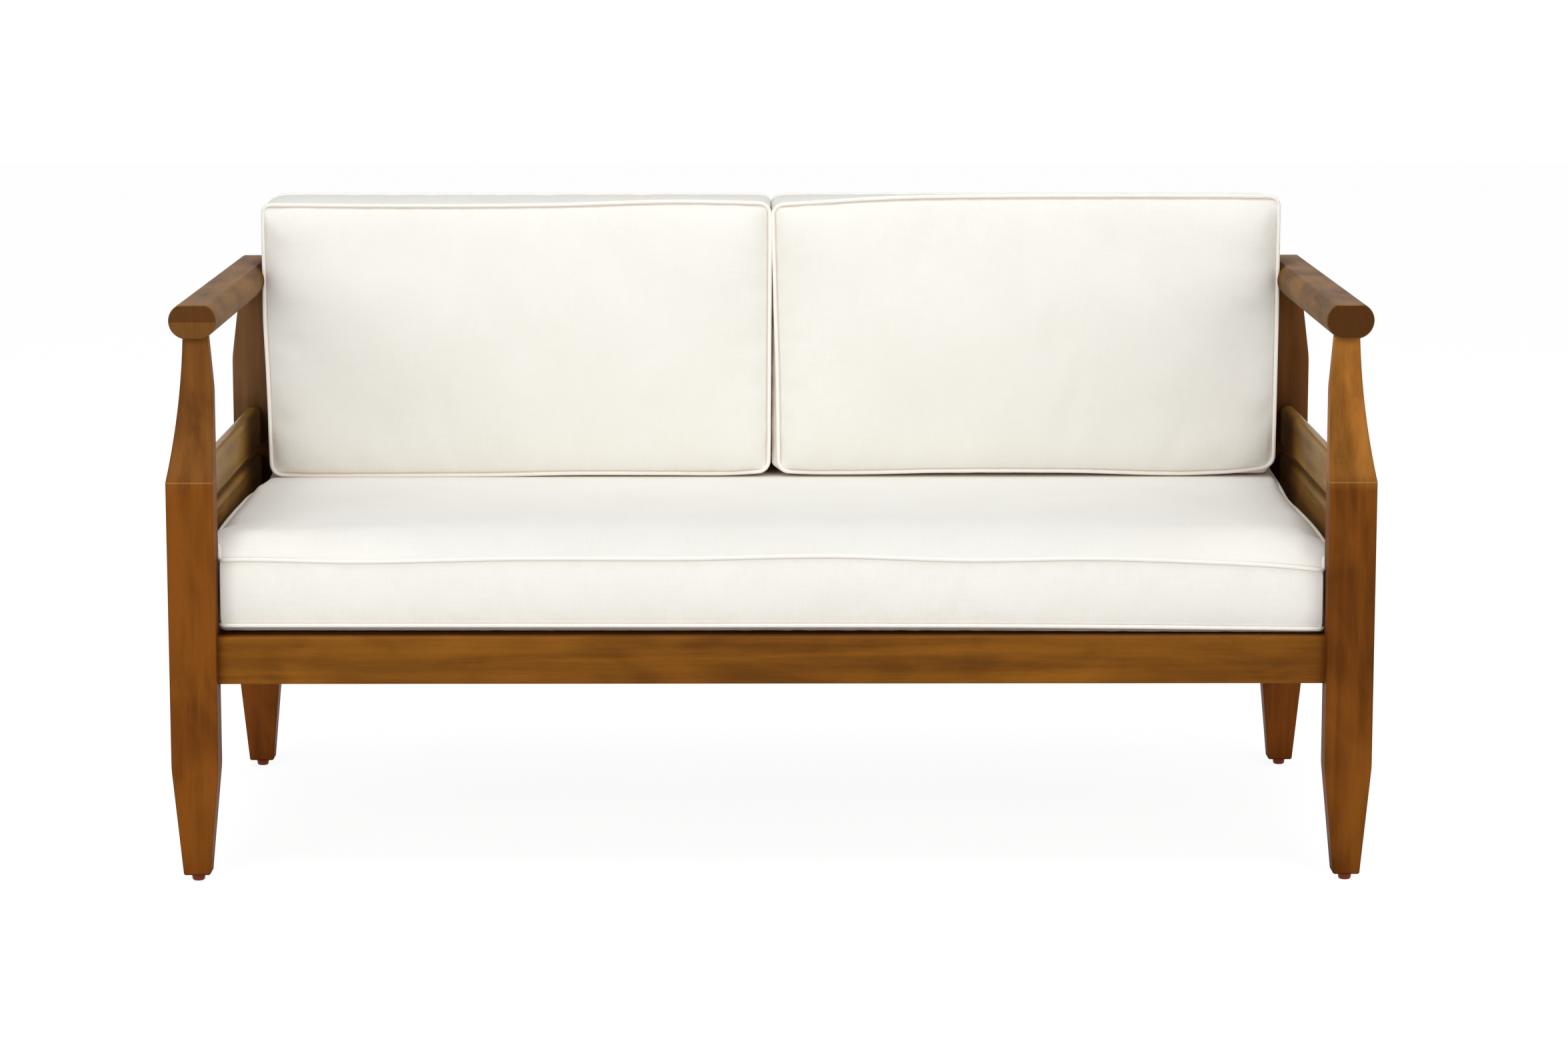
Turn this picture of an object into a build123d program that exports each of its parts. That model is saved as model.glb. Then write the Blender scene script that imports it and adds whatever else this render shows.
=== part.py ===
from build123d import *
import os

# Two-seat patio loveseat: a doweled and bolted hardwood frame with loose cushions.
# The origin lies on the floor under the middle of the object.
# +X runs along the seat, +Y points to the back and +Z points up, so the front faces -Y.
# All lengths are in millimetres.

# Overall size of the frame
overall_width = 1400.0
overall_depth = 683.0

# Legs
leg_width = 55.0
leg_depth = 38.0
leg_lift = 8.5
foot_width = 31.0
foot_depth = 30.0
foot_taper_height = 127.0
foot_chamfer = 1.5
leg_arris = 2.0
bend_round = 120.0

# Sweep of the front legs from their ridge up to the arms
sweep_height = 167.0
sweep_outer = 21.0
sweep_inner = 5.0
sweep_inner_length = 60.0
sweep_front = 18.0
sweep_hollow = 3.7

# Taper of the rear legs below the arms, and their top
rear_taper_length = 94.0
rear_taper = 16.0
rear_top_drop = 5.0
rear_top_round = 1.5

# Arms
arm_width = 55.0
arm_height = 39.0
arm_top_height = 678.0
arm_top_flat = 33.0
arm_bottom_flat = 18.0
arm_widest_drop = 18.0
arm_edge_round = 4.0
arm_centre_inset = 35.0
arm_end_chamfer = 1.0

# Seat rails and back rails
rail_height = 56.0
rail_thickness = 22.0
rail_top_height = 289.0
rail_setback = 15.0
rail_arris = 2.5

# Side rails and side boards
side_centre_inset = 27.0
side_rail_thickness = 22.0
board_count = 3
board_thickness = 18.0
board_height = 49.0
board_gap = 11.5
board_rail_gap = 22.0
board_top_round = 7.0
board_bottom_round = 2.0
tenon_length = 22.0
tenon_thickness = 10.0
tenon_shoulder = 8.0
rail_tenon_height = 20.0

# Back panel
back_top_rail_height = 60.0
back_top_rail_drop = 13.0
back_bottom_rail_height = 40.0
back_bottom_rail_gap = 56.5
back_slat_count = 9
back_slat_width = 60.0
back_slat_thickness = 12.0
back_slat_tenon = 12.0
back_slat_arris = 2.0

# Seat slats, and the side ledgers and the bearer that carry them
seat_slat_count = 7
seat_slat_width = 62.0
seat_slat_thickness = 18.0
seat_slat_end_gap = 1.0
seat_slat_arris = 2.0
ledger_thickness = 22.0
ledger_height = 30.0
ledger_end_gap = 2.0
bearer_thickness = 26.0
bearer_tenon_length = 12.0
bearer_tenon_thickness = 16.0
bearer_tenon_shoulder = 12.0

# Dowels between arms and legs
dowel_radius = 4.0
dowel_in_arm = 20.0
dowel_in_leg = 24.0
dowel_spacing = 15.0
arm_end_dowel_spacing = 20.0
arm_end_dowel_drop = 23.0

# Rail bolts and barrel nuts
bolt_radius = 3.0
bolt_head_radius = 5.0
bolt_head_height = 6.0
bolt_socket_radius = 2.5
bolt_socket_depth = 3.0
bolt_seat_depth = 8.0
bolt_hole_radius = 3.3
bolt_edge_inset = 12.0
counterbore_radius = 6.0
nut_radius = 5.0
nut_length = 14.0
nut_inset = 33.0
bolt_past_nut = 8.0

# Wood screws
screw_radius = 2.0
screw_head_radius = 4.0
screw_head_height = 2.5
slat_screw_length = 30.0
ledger_screw_length = 36.0

# Levelling glides
glide_top_radius = 8.3
glide_bottom_radius = 7.0
glide_round = 2.4
stud_radius = 4.0
stud_in_glide = 4.0
stud_in_leg = 24.0
stud_running_gap = 0.05
stud_hole_radius = 4.6
stud_hole_spare = 6.0
insert_radius = 6.0
insert_length = 13.0

# Seat cushion
board_cushion_gap = 6.0
seat_front_setback = 30.0
seat_rear_setback = 42.0
seat_base_round = 8.7
seat_boxing = 79.0
seat_crown = 32.5
seat_crown_run = 200.0
seat_crown_rear_run = 60.0
seat_corner = 40.0
seat_draw_in = 6.0
seat_bulge = 3.0
seat_base_inset = 14.0

# Back cushions
back_cushion_height = 340.0
back_cushion_boxing = 150.0
back_crown = 20.0
back_crown_flat = 100.0
back_rear_crown = 12.0
back_rear_crown_run = 60.0
back_corner = 22.0
back_draw_in = 4.0
back_bulge = 4.0

# Clearances
cushion_gap = 0.3
arm_cushion_gap = 0.6
hole_ease = 0.1
cut_overrun = 5.0

# Shares that shape a crown: how far in and how high each section of it lies
crown_run_shares = (0.05, 0.13, 0.26, 0.45, 0.70, 1)
crown_rise_shares = (0.30, 0.52, 0.71, 0.87, 0.96, 1)
corner_growth_share = 0.15
draw_in_fade_share = 0.5

# Places worked out from the sizes above
half_width = overall_width / 2
half_clear = half_width - leg_width
front_y = -overall_depth / 2
rear_y = overall_depth / 2
front_leg_back_y = front_y + leg_depth
rear_leg_front_y = rear_y - leg_depth
arm_bottom_height = arm_top_height - arm_height
ridge_height = arm_bottom_height - sweep_height
rear_taper_start = arm_bottom_height - rear_taper_length
arm_x = half_width - arm_centre_inset
side_x = half_width - side_centre_inset
leg_x = half_width - leg_width / 2
foot_taper_top = leg_lift + foot_taper_height
rail_bottom_height = rail_top_height - rail_height
front_rail_y = front_y + rail_setback + rail_thickness / 2
rear_rail_y = rear_y - rail_setback - rail_thickness / 2
front_rail_inner_y = front_rail_y + rail_thickness / 2
rear_rail_inner_y = rear_rail_y - rail_thickness / 2
rear_top_height = arm_top_height - rear_top_drop
back_top_rail_top = arm_top_height - back_top_rail_drop
back_bottom_rail_top = rail_top_height + back_bottom_rail_gap + back_bottom_rail_height
ledger_top_height = rail_top_height - seat_slat_thickness
ledger_z = ledger_top_height - ledger_height / 2
side_rail_inner_x = side_x - side_rail_thickness / 2
ledger_x = side_rail_inner_x - ledger_thickness / 2
rail_bolt_heights = (rail_bottom_height + bolt_edge_inset, rail_top_height - bolt_edge_inset)
seat_half_width = side_x - board_thickness / 2 - board_cushion_gap
seat_base_height = rail_top_height + cushion_gap
seat_bottom_seam = seat_base_height + seat_base_round
seat_top_seam = seat_bottom_seam + seat_boxing
back_crown_run = (back_cushion_height - back_crown_flat) / 2
back_top_bolt_z = back_top_rail_top - back_top_rail_height / 2
back_bottom_bolt_z = back_bottom_rail_top - back_bottom_rail_height / 2
arm_dowel_y = front_leg_back_y - (leg_depth - sweep_front) / 2
front_top_x = half_width - (sweep_outer + leg_width - sweep_inner) / 2
arm_end_dowel_z = arm_top_height - arm_end_dowel_drop


def block(x_low, x_high, y_low, y_high, z_low, z_high):
    """A box between two corners."""
    centre = Pos((x_low + x_high) / 2, (y_low + y_high) / 2, (z_low + z_high) / 2)
    return centre * Box(x_high - x_low, y_high - y_low, z_high - z_low)


def rod_x(radius, x_low, x_high, y, z):
    """A round bar along X."""
    centre = Pos((x_low + x_high) / 2, y, z)
    return centre * Rot(0, 90, 0) * Cylinder(radius, x_high - x_low)


def rod_y(radius, x, y_low, y_high, z):
    """A round bar along Y."""
    centre = Pos(x, (y_low + y_high) / 2, z)
    return centre * Rot(90, 0, 0) * Cylinder(radius, y_high - y_low)


def rod_z(radius, x, y, z_low, z_high):
    """A round bar along Z."""
    return Pos(x, y, (z_low + z_high) / 2) * Cylinder(radius, z_high - z_low)


def left_of(shape):
    """The left-hand twin of a right-hand piece."""
    return mirror(shape, about=Plane.YZ)


def both_sides(shapes):
    """Right-hand shapes together with their left-hand twins."""
    return list(shapes) + [left_of(shape) for shape in shapes]


def spread(count, low, high):
    """Evenly spaced places, with half a step left free at each end."""
    step = (high - low) / count
    return [low + step * (index + 0.5) for index in range(count)]


def softened(outline, corners):
    """The face of an outline, with a soft bend at each named corner."""
    face = make_face(outline)
    points = [face.vertices().sort_by_distance(corner)[0] for corner in corners]
    return fillet(points, bend_round)


def leg_prism(front_face, side_face):
    """What a leg's front view, in X and Z, and its side view, in Y and Z, have in common."""
    front = extrude(Plane.XZ * front_face, amount=overall_depth, both=True)
    side = extrude(Plane.YZ * side_face, amount=overall_width, both=True)
    leg = front & side
    upright = [edge for edge in leg.edges() if edge.bounding_box().size.Z > leg_arris]
    return fillet(upright, leg_arris)


def rear_outer_x(z):
    """The outer face of a rear leg at a height."""
    rise = max(0, z - rear_taper_start)
    return half_width - rear_taper * rise / (rear_top_height - rear_taper_start)


def front_leg_blank():
    """The right-hand front leg before its joints are cut."""
    top_outer = half_width - sweep_outer
    top_inner = half_clear + sweep_inner
    inner_bend = arm_bottom_height - sweep_inner_length
    front_view = Polyline(
        (half_width, ridge_height),
        (half_width, foot_taper_top),
        (leg_x + foot_width / 2, leg_lift),
        (leg_x - foot_width / 2, leg_lift),
        (half_clear, foot_taper_top),
        (half_clear, inner_bend),
        (top_inner, arm_bottom_height),
        (top_outer, arm_bottom_height),
    )
    front_view += SagittaArc((top_outer, arm_bottom_height), (half_width, ridge_height), -sweep_hollow)
    bends = ((half_width, foot_taper_top), (half_clear, foot_taper_top), (half_clear, inner_bend))
    front_face = softened(front_view, bends)
    top_front_y = front_y + sweep_front
    side_view = Polyline(
        (top_front_y, arm_bottom_height),
        (front_leg_back_y, arm_bottom_height),
        (front_leg_back_y, foot_taper_top),
        (front_y + foot_depth, leg_lift),
        (front_y, leg_lift),
        (front_y, ridge_height),
    )
    side_view += SagittaArc((front_y, ridge_height), (top_front_y, arm_bottom_height), -sweep_hollow)
    side_face = softened(side_view, ((front_leg_back_y, foot_taper_top),))
    leg = leg_prism(front_face, side_face)
    return chamfer(leg.faces().sort_by(Axis.Z)[0].edges(), foot_chamfer)


def rear_leg_blank():
    """The right-hand rear leg before its joints are cut."""
    front_view = Polyline(
        (half_width, rear_taper_start),
        (half_width, foot_taper_top),
        (leg_x + foot_width / 2, leg_lift),
        (leg_x - foot_width / 2, leg_lift),
        (half_clear, foot_taper_top),
        (half_clear, rear_top_height),
        (half_width - rear_taper, rear_top_height),
        close=True,
    )
    bends = ((half_width, rear_taper_start), (half_width, foot_taper_top), (half_clear, foot_taper_top))
    front_face = softened(front_view, bends)
    side_view = Polyline(
        (rear_leg_front_y, rear_top_height),
        (rear_leg_front_y, foot_taper_top),
        (rear_y - foot_depth, leg_lift),
        (rear_y, leg_lift),
        (rear_y, rear_top_height),
        close=True,
    )
    side_face = softened(side_view, ((rear_leg_front_y, foot_taper_top),))
    leg = leg_prism(front_face, side_face)
    leg = fillet(leg.faces().sort_by(Axis.Z)[-1].edges(), rear_top_round)
    return chamfer(leg.faces().sort_by(Axis.Z)[0].edges(), foot_chamfer)


def foot_hole(x, y):
    """The bore in a leg's end for the insert and the stud."""
    wide = rod_z(insert_radius + hole_ease, x, y, leg_lift - cut_overrun, leg_lift + insert_length)
    stud_top = leg_lift + stud_in_leg + stud_hole_spare
    return wide + rod_z(stud_hole_radius, x, y, leg_lift, stud_top)


def bolt_hole(y, z):
    """The hole and counterbore of a rail bolt through a right-hand leg."""
    seat_x = rear_outer_x(z) - bolt_seat_depth
    shank = rod_x(bolt_hole_radius, half_clear - cut_overrun, half_width + cut_overrun, y, z)
    return shank + rod_x(counterbore_radius, seat_x, half_width + cut_overrun, y, z)


def rail_mortises(y, inward):
    """What a rail's two ends lose to a bolt and a barrel nut at each height.

    y is the middle of the rail, and inward is the way along Y that the nut goes in from.
    """
    def cut_at(z):
        bolt_end = half_clear - nut_inset - bolt_past_nut
        nut_far = y - inward * nut_length / 2
        nut_open = y + inward * (rail_thickness / 2 + cut_overrun)
        low, high = sorted((nut_far, nut_open))
        hole = rod_x(bolt_hole_radius, bolt_end, half_clear + cut_overrun, y, z)
        return hole + rod_y(nut_radius + hole_ease, half_clear - nut_inset, low, high, z)
    return cut_at


def board_spans():
    """The bottom and top height of each side board, from the top one down."""
    pitch = board_height + board_gap
    bottoms = [rail_top_height + board_rail_gap + pitch * index for index in range(board_count)]
    return [(bottom, bottom + board_height) for bottom in reversed(bottoms)]


def board_tenon(z_low, z_high, ease):
    """A bar through both legs that carries the tenons of one side board."""
    return block(
        side_x - tenon_thickness / 2 - ease, side_x + tenon_thickness / 2 + ease,
        front_leg_back_y - tenon_length - ease, rear_leg_front_y + tenon_length + ease,
        z_low + tenon_shoulder - ease, z_high - tenon_shoulder + ease,
    )


def side_rail_tenon(ease):
    """A bar through both legs that carries the tenons of a side rail."""
    middle = rail_top_height - rail_height / 2
    return block(
        side_x - tenon_thickness / 2 - ease, side_x + tenon_thickness / 2 + ease,
        front_leg_back_y - tenon_length - ease, rear_leg_front_y + tenon_length + ease,
        middle - rail_tenon_height / 2 - ease, middle + rail_tenon_height / 2 + ease,
    )


def side_mortises():
    """All the mortises that the side boards and the side rail need in two legs."""
    cuts = side_rail_tenon(hole_ease)
    for z_low, z_high in board_spans():
        cuts += board_tenon(z_low, z_high, hole_ease)
    return cuts


def arm_dowel_places():
    """Each dowel of the right-hand arm: the upright ones, then the level ones."""
    upright = [(front_top_x + side * dowel_spacing / 2, arm_dowel_y) for side in (-1, 1)]
    level = [leg_x - leg_width / 2 + arm_end_dowel_spacing * (index + 0.5) for index in range(2)]
    return upright, level


def arm_dowel_set(radius, ease):
    """The dowels of the right-hand arm, or with an ease the holes for them."""
    upright, level = arm_dowel_places()
    low = arm_bottom_height - dowel_in_leg - ease
    high = arm_bottom_height + dowel_in_arm + ease
    near = rear_leg_front_y - dowel_in_arm - ease
    far = rear_leg_front_y + dowel_in_arm + ease
    pins = [rod_z(radius + ease, x, y, low, high) for x, y in upright]
    pins += [rod_y(radius + ease, x, near, far, arm_end_dowel_z) for x in level]
    return pins


def front_leg():
    """The right-hand front leg."""
    leg = front_leg_blank()
    leg -= side_mortises()
    for z in rail_bolt_heights:
        leg -= bolt_hole(front_rail_y, z)
    for pin in arm_dowel_set(dowel_radius, hole_ease):
        leg -= pin
    return leg - foot_hole(leg_x, front_y + foot_depth / 2)


def rear_leg():
    """The right-hand rear leg."""
    leg = rear_leg_blank()
    leg -= side_mortises()
    for z in rail_bolt_heights + (back_bottom_bolt_z, back_top_bolt_z):
        leg -= bolt_hole(rear_rail_y, z)
    for pin in arm_dowel_set(dowel_radius, hole_ease):
        leg -= pin
    return leg - foot_hole(leg_x, rear_y - foot_depth / 2)


def arm_section():
    """The arm's section: flat at the top and the bottom, with a full curve on each side."""
    widest = arm_top_height - arm_widest_drop
    low, high = arm_bottom_height, arm_top_height
    top, side, base = arm_top_flat / 2, arm_width / 2, arm_bottom_flat / 2
    outline = Line((-top, high), (top, high))
    outline += TangentArc((side, widest), (top, high), tangent=(0, 1))
    outline += TangentArc((side, widest), (base, low), tangent=(0, -1))
    outline += Line((base, low), (-base, low))
    outline += TangentArc((-side, widest), (-base, low), tangent=(0, -1))
    outline += TangentArc((-side, widest), (-top, high), tangent=(0, 1))
    face = make_face(outline)
    places = ((-top, high), (top, high), (-base, low), (base, low))
    corners = [face.vertices().sort_by_distance(place)[0] for place in places]
    return fillet(corners, arm_edge_round)


def arm():
    """The right-hand arm, from the front to the rear leg."""
    end = Plane((arm_x, rear_leg_front_y, 0), x_dir=(1, 0, 0), z_dir=(0, -1, 0))
    bar = extrude(end * arm_section(), amount=rear_leg_front_y - front_y)
    bar = chamfer(bar.faces().sort_by(Axis.Y)[0].edges(), arm_end_chamfer)
    for pin in arm_dowel_set(dowel_radius, hole_ease):
        bar -= pin
    return bar


def side_board(z_low, z_high):
    """A right-hand side board with a tenon at each end."""
    board = block(
        side_x - board_thickness / 2, side_x + board_thickness / 2,
        front_leg_back_y, rear_leg_front_y, z_low, z_high,
    )
    along = board.edges().filter_by(Axis.Y).group_by(Axis.Z)
    board = fillet(along[0], board_bottom_round)
    along = board.edges().filter_by(Axis.Y).group_by(Axis.Z)
    board = fillet(along[-1], board_top_round)
    return board + board_tenon(z_low, z_high, 0)


def side_rail():
    """The right-hand seat rail between the front and the rear leg, drilled for its ledger's screws."""
    rail = block(
        side_rail_inner_x, side_rail_inner_x + side_rail_thickness,
        front_leg_back_y, rear_leg_front_y, rail_bottom_height, rail_top_height,
    )
    rail = fillet(rail.edges().filter_by(Axis.Y), rail_arris) + side_rail_tenon(0)
    for hole in ledger_screws(screw_hole):
        rail -= hole
    return rail


def cross_rail(y, z_low, z_high, bolt_heights, inward):
    """A rail along the seat between two legs, drilled for its bolts and nuts."""
    half = rail_thickness / 2
    rail = block(-half_clear, half_clear, y - half, y + half, z_low, z_high)
    rail = fillet(rail.edges().filter_by(Axis.X), rail_arris)
    cut_at = rail_mortises(y, inward)
    for z in bolt_heights:
        for cut in both_sides([cut_at(z)]):
            rail -= cut
    return rail


def back_slat_places():
    """The middle of each upright back slat."""
    return spread(back_slat_count, -half_clear, half_clear)


def back_slat(x, ease):
    """The bar of an upright back slat, or with an ease the mortises that hold it."""
    return block(
        x - back_slat_width / 2 - ease, x + back_slat_width / 2 + ease,
        rear_rail_y - back_slat_thickness / 2 - ease, rear_rail_y + back_slat_thickness / 2 + ease,
        back_bottom_rail_top - back_slat_tenon - ease,
        back_top_rail_top - back_top_rail_height + back_slat_tenon + ease,
    )


def back_rail(z_low, z_high, bolt_z):
    """A rail of the back panel with its slat mortises."""
    rail = cross_rail(rear_rail_y, z_low, z_high, (bolt_z,), 1)
    for x in back_slat_places():
        rail -= back_slat(x, hole_ease)
    return rail


def screw(x, y, z, length):
    """A countersunk wood screw that points down from its head's flat face."""
    shank = rod_z(screw_radius, x, y, z - length, z)
    drop = z - screw_head_height / 2
    return shank + Pos(x, y, drop) * Cone(screw_radius, screw_head_radius, screw_head_height)


def screw_hole(x, y, z, length):
    """The hole of a screw, with its countersink."""
    shank = rod_z(screw_radius + hole_ease, x, y, z - length - hole_ease, z)
    drop = z - screw_head_height / 2
    sink = Cone(screw_radius + hole_ease, screw_head_radius + hole_ease, screw_head_height)
    return shank + Pos(x, y, drop) * sink


def seat_slat_places():
    """The middle of each seat slat, from the front to the rear."""
    return spread(seat_slat_count, front_leg_back_y, rear_leg_front_y)


def slat_screws(maker):
    """Three screws, or three holes, in each seat slat: over each ledger and over the bearer."""
    places = [(x, y) for y in seat_slat_places() for x in (-ledger_x, 0, ledger_x)]
    return [maker(x, y, rail_top_height, slat_screw_length) for x, y in places]


def seat_slat(y):
    """A seat slat from one side ledger to the other."""
    reach = side_rail_inner_x - seat_slat_end_gap
    slat = block(
        -reach, reach, y - seat_slat_width / 2, y + seat_slat_width / 2,
        ledger_top_height, rail_top_height,
    )
    slat = fillet(slat.edges().filter_by(Axis.X).group_by(Axis.Z)[-1], seat_slat_arris)
    for x in (-ledger_x, 0, ledger_x):
        slat -= screw_hole(x, y, rail_top_height, slat_screw_length)
    return slat


def ledger_screws(maker):
    """Level screws, or their holes, from the right-hand ledger's inner face into its rail."""
    places = seat_slat_places()
    screws = []
    for y, y_next in zip(places, places[1:]):
        turned = Rot(0, -90, 0) * maker(0, 0, 0, ledger_screw_length)
        screws.append(Pos(side_rail_inner_x - ledger_thickness, (y + y_next) / 2, ledger_z) * turned)
    return screws


def side_ledger():
    """The right-hand ledger along the side rail, drilled for its own screws and the slat screws."""
    bar = block(
        side_rail_inner_x - ledger_thickness, side_rail_inner_x,
        front_leg_back_y + ledger_end_gap, rear_leg_front_y - ledger_end_gap,
        ledger_top_height - ledger_height, ledger_top_height,
    )
    for hole in ledger_screws(screw_hole) + slat_screws(screw_hole):
        bar -= hole
    return bar


def bearer_tenon(ease):
    """A bar through both seat rails that carries the tenons of the bearer."""
    half = bearer_tenon_thickness / 2 + ease
    return block(
        -half, half,
        front_rail_inner_y - bearer_tenon_length - ease, rear_rail_inner_y + bearer_tenon_length + ease,
        rail_bottom_height + bearer_tenon_shoulder - ease, ledger_top_height - bearer_tenon_shoulder + ease,
    )


def seat_bearer():
    """The bearer under the middle of the seat slats, tenoned into the front and the rear rail."""
    half = bearer_thickness / 2
    bar = block(-half, half, front_rail_inner_y, rear_rail_inner_y, rail_bottom_height, ledger_top_height)
    bar += bearer_tenon(0)
    for hole in slat_screws(screw_hole):
        bar -= hole
    return bar


def seat_rail(y, inward):
    """A front or rear seat rail, with its mortise for the bearer."""
    rail = cross_rail(y, rail_bottom_height, rail_top_height, rail_bolt_heights, inward)
    return rail - bearer_tenon(hole_ease)


def bolt_places():
    """The middle in Y and the height of each right-hand rail bolt."""
    front = [(front_rail_y, z) for z in rail_bolt_heights]
    rear = [(rear_rail_y, z) for z in rail_bolt_heights + (back_bottom_bolt_z, back_top_bolt_z)]
    return front + rear


def rail_bolt(y, z):
    """A socket-head bolt through a right-hand leg into a rail."""
    seat_x = rear_outer_x(z) - bolt_seat_depth
    end_x = half_clear - nut_inset - bolt_past_nut + hole_ease
    shank = rod_x(bolt_radius, end_x, seat_x, y, z)
    head = rod_x(bolt_head_radius, seat_x, seat_x + bolt_head_height, y, z)
    top_x = seat_x + bolt_head_height
    socket = rod_x(bolt_socket_radius, top_x - bolt_socket_depth, top_x + cut_overrun, y, z)
    return shank + head - socket


def barrel_nut(y, z):
    """A cross nut in a rail, with the hole that its bolt fills."""
    half = nut_length / 2
    nut = rod_y(nut_radius, half_clear - nut_inset, y - half, y + half, z)
    reach = nut_radius + cut_overrun
    x = half_clear - nut_inset
    return nut - rod_x(bolt_radius + hole_ease, x - reach, x + reach, y, z)


def foot_places():
    """The name and the middle of each foot."""
    front_foot_y = front_y + foot_depth / 2
    rear_foot_y = rear_y - foot_depth / 2
    return {
        "front_left": (-leg_x, front_foot_y),
        "front_right": (leg_x, front_foot_y),
        "rear_left": (-leg_x, rear_foot_y),
        "rear_right": (leg_x, rear_foot_y),
    }


def foot_insert(x, y):
    """A threaded insert, flush with the leg's end."""
    body = rod_z(insert_radius, x, y, leg_lift, leg_lift + insert_length)
    return body - rod_z(stud_radius, x, y, leg_lift - cut_overrun, leg_lift + insert_length + cut_overrun)


def glide(x, y):
    """A round plastic glide that tapers to a rounded base."""
    body = Pos(x, y, leg_lift / 2) * Cone(glide_bottom_radius, glide_top_radius, leg_lift)
    body = fillet(body.faces().sort_by(Axis.Z)[0].edges(), glide_round)
    return body - rod_z(stud_radius, x, y, leg_lift - stud_in_glide, leg_lift + cut_overrun)


def glide_stud(x, y):
    """The steel stud of a glide, screwed right up into the leg."""
    radius = stud_radius - stud_running_gap
    return rod_z(radius, x, y, leg_lift - stud_in_glide, leg_lift + stud_in_leg)


def cushion_outline(low, high, corner, draw_in, height):
    """A cushion's outline at one height: rounded corners and sides that pull in between them."""
    x_low, y_low = low
    x_high, y_high = high
    x_mid = (x_low + x_high) / 2
    y_mid = (y_low + y_high) / 2
    bend = corner * (1 - 0.5 ** 0.5)
    sides = [
        ThreePointArc((x_low + corner, y_low), (x_mid, y_low + draw_in), (x_high - corner, y_low)),
        ThreePointArc((x_high - corner, y_low), (x_high - bend, y_low + bend), (x_high, y_low + corner)),
        ThreePointArc((x_high, y_low + corner), (x_high - draw_in, y_mid), (x_high, y_high - corner)),
        ThreePointArc((x_high, y_high - corner), (x_high - bend, y_high - bend), (x_high - corner, y_high)),
        ThreePointArc((x_high - corner, y_high), (x_mid, y_high - draw_in), (x_low + corner, y_high)),
        ThreePointArc((x_low + corner, y_high), (x_low + bend, y_high - bend), (x_low, y_high - corner)),
        ThreePointArc((x_low, y_high - corner), (x_low + draw_in, y_mid), (x_low, y_low + corner)),
        ThreePointArc((x_low, y_low + corner), (x_low + bend, y_low + bend), (x_low + corner, y_low)),
    ]
    return Pos(0, 0, height) * make_face(sides)


def crown_sections(low, high, corner, draw_in, seam, rise, run, last_run):
    """The sections of one crown, from its seam to its flat middle.

    run is how far the crown reaches in from three sides, and last_run from the side at high Y.
    """
    sections = [cushion_outline(low, high, corner, draw_in, seam)]
    for run_share, rise_share in zip(crown_run_shares, crown_rise_shares):
        inset = run * run_share
        last_inset = last_run * run_share
        section_low = (low[0] + inset, low[1] + inset)
        section_high = (high[0] - inset, high[1] - last_inset)
        section_corner = corner + corner_growth_share * inset
        fade = draw_in * (1 - draw_in_fade_share * run_share)
        height = seam + rise * rise_share
        sections.append(cushion_outline(section_low, section_high, section_corner, fade, height))
    return sections


def boxing(low, high, corner, draw_in, bulge, seam_low, seam_high):
    """The band between two seams, swelling a little halfway."""
    middle_low = (low[0] - bulge, low[1] - bulge)
    middle_high = (high[0] + bulge, high[1] + bulge)
    middle = (seam_low + seam_high) / 2
    sections = [
        cushion_outline(low, high, corner, draw_in, seam_low),
        cushion_outline(middle_low, middle_high, corner + bulge, draw_in, middle),
        cushion_outline(low, high, corner, draw_in, seam_high),
    ]
    return loft(sections)


def seat_cushion():
    """The seat cushion, pressed flat on the slats, with its crown running on under the back."""
    low = (-seat_half_width + seat_bulge, front_y + seat_front_setback + seat_bulge)
    high = (seat_half_width - seat_bulge, rear_y - seat_rear_setback - seat_bulge)
    inset = seat_base_inset
    base = cushion_outline(
        (low[0] + inset, low[1] + inset), (high[0] - inset, high[1] - inset),
        seat_corner, seat_draw_in, seat_base_height,
    )
    bottom_seam = cushion_outline(low, high, seat_corner, seat_draw_in, seat_bottom_seam)
    crown = crown_sections(
        low, high, seat_corner, seat_draw_in, seat_top_seam,
        seat_crown, seat_crown_run, seat_crown_rear_run,
    )
    band = boxing(low, high, seat_corner, seat_draw_in, seat_bulge, seat_bottom_seam, seat_top_seam)
    return loft([base, bottom_seam]) + band + loft(crown, ruled=True)


def back_cushion():
    """The right-hand back cushion, standing on the seat cushion against the back panel."""
    bottom = seat_top_seam + seat_crown + cushion_gap + back_bulge
    inner_x = cushion_gap + back_bulge
    outer_x = arm_x - arm_width / 2 - arm_cushion_gap - back_bulge
    low = (inner_x, bottom)
    high = (outer_x, bottom + back_cushion_height)
    front_seam = back_rear_crown + back_cushion_boxing
    front = crown_sections(
        low, high, back_corner, back_draw_in, front_seam, back_crown, back_crown_run, back_crown_run,
    )
    rear = crown_sections(
        low, high, back_corner, back_draw_in, back_rear_crown, -back_rear_crown,
        back_rear_crown_run, back_rear_crown_run,
    )
    band = boxing(low, high, back_corner, back_draw_in, back_bulge, back_rear_crown, front_seam)
    lying = loft(rear[::-1], ruled=True) + band + loft(front, ruled=True)
    standing = Plane((0, rear_rail_inner_y - cushion_gap, 0), x_dir=(1, 0, 0), z_dir=(0, -1, 0))
    return standing * lying


def group(shapes):
    """Separate solids that share one node."""
    return Compound(children=[solid for shape in shapes for solid in shape.solids()])


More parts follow.
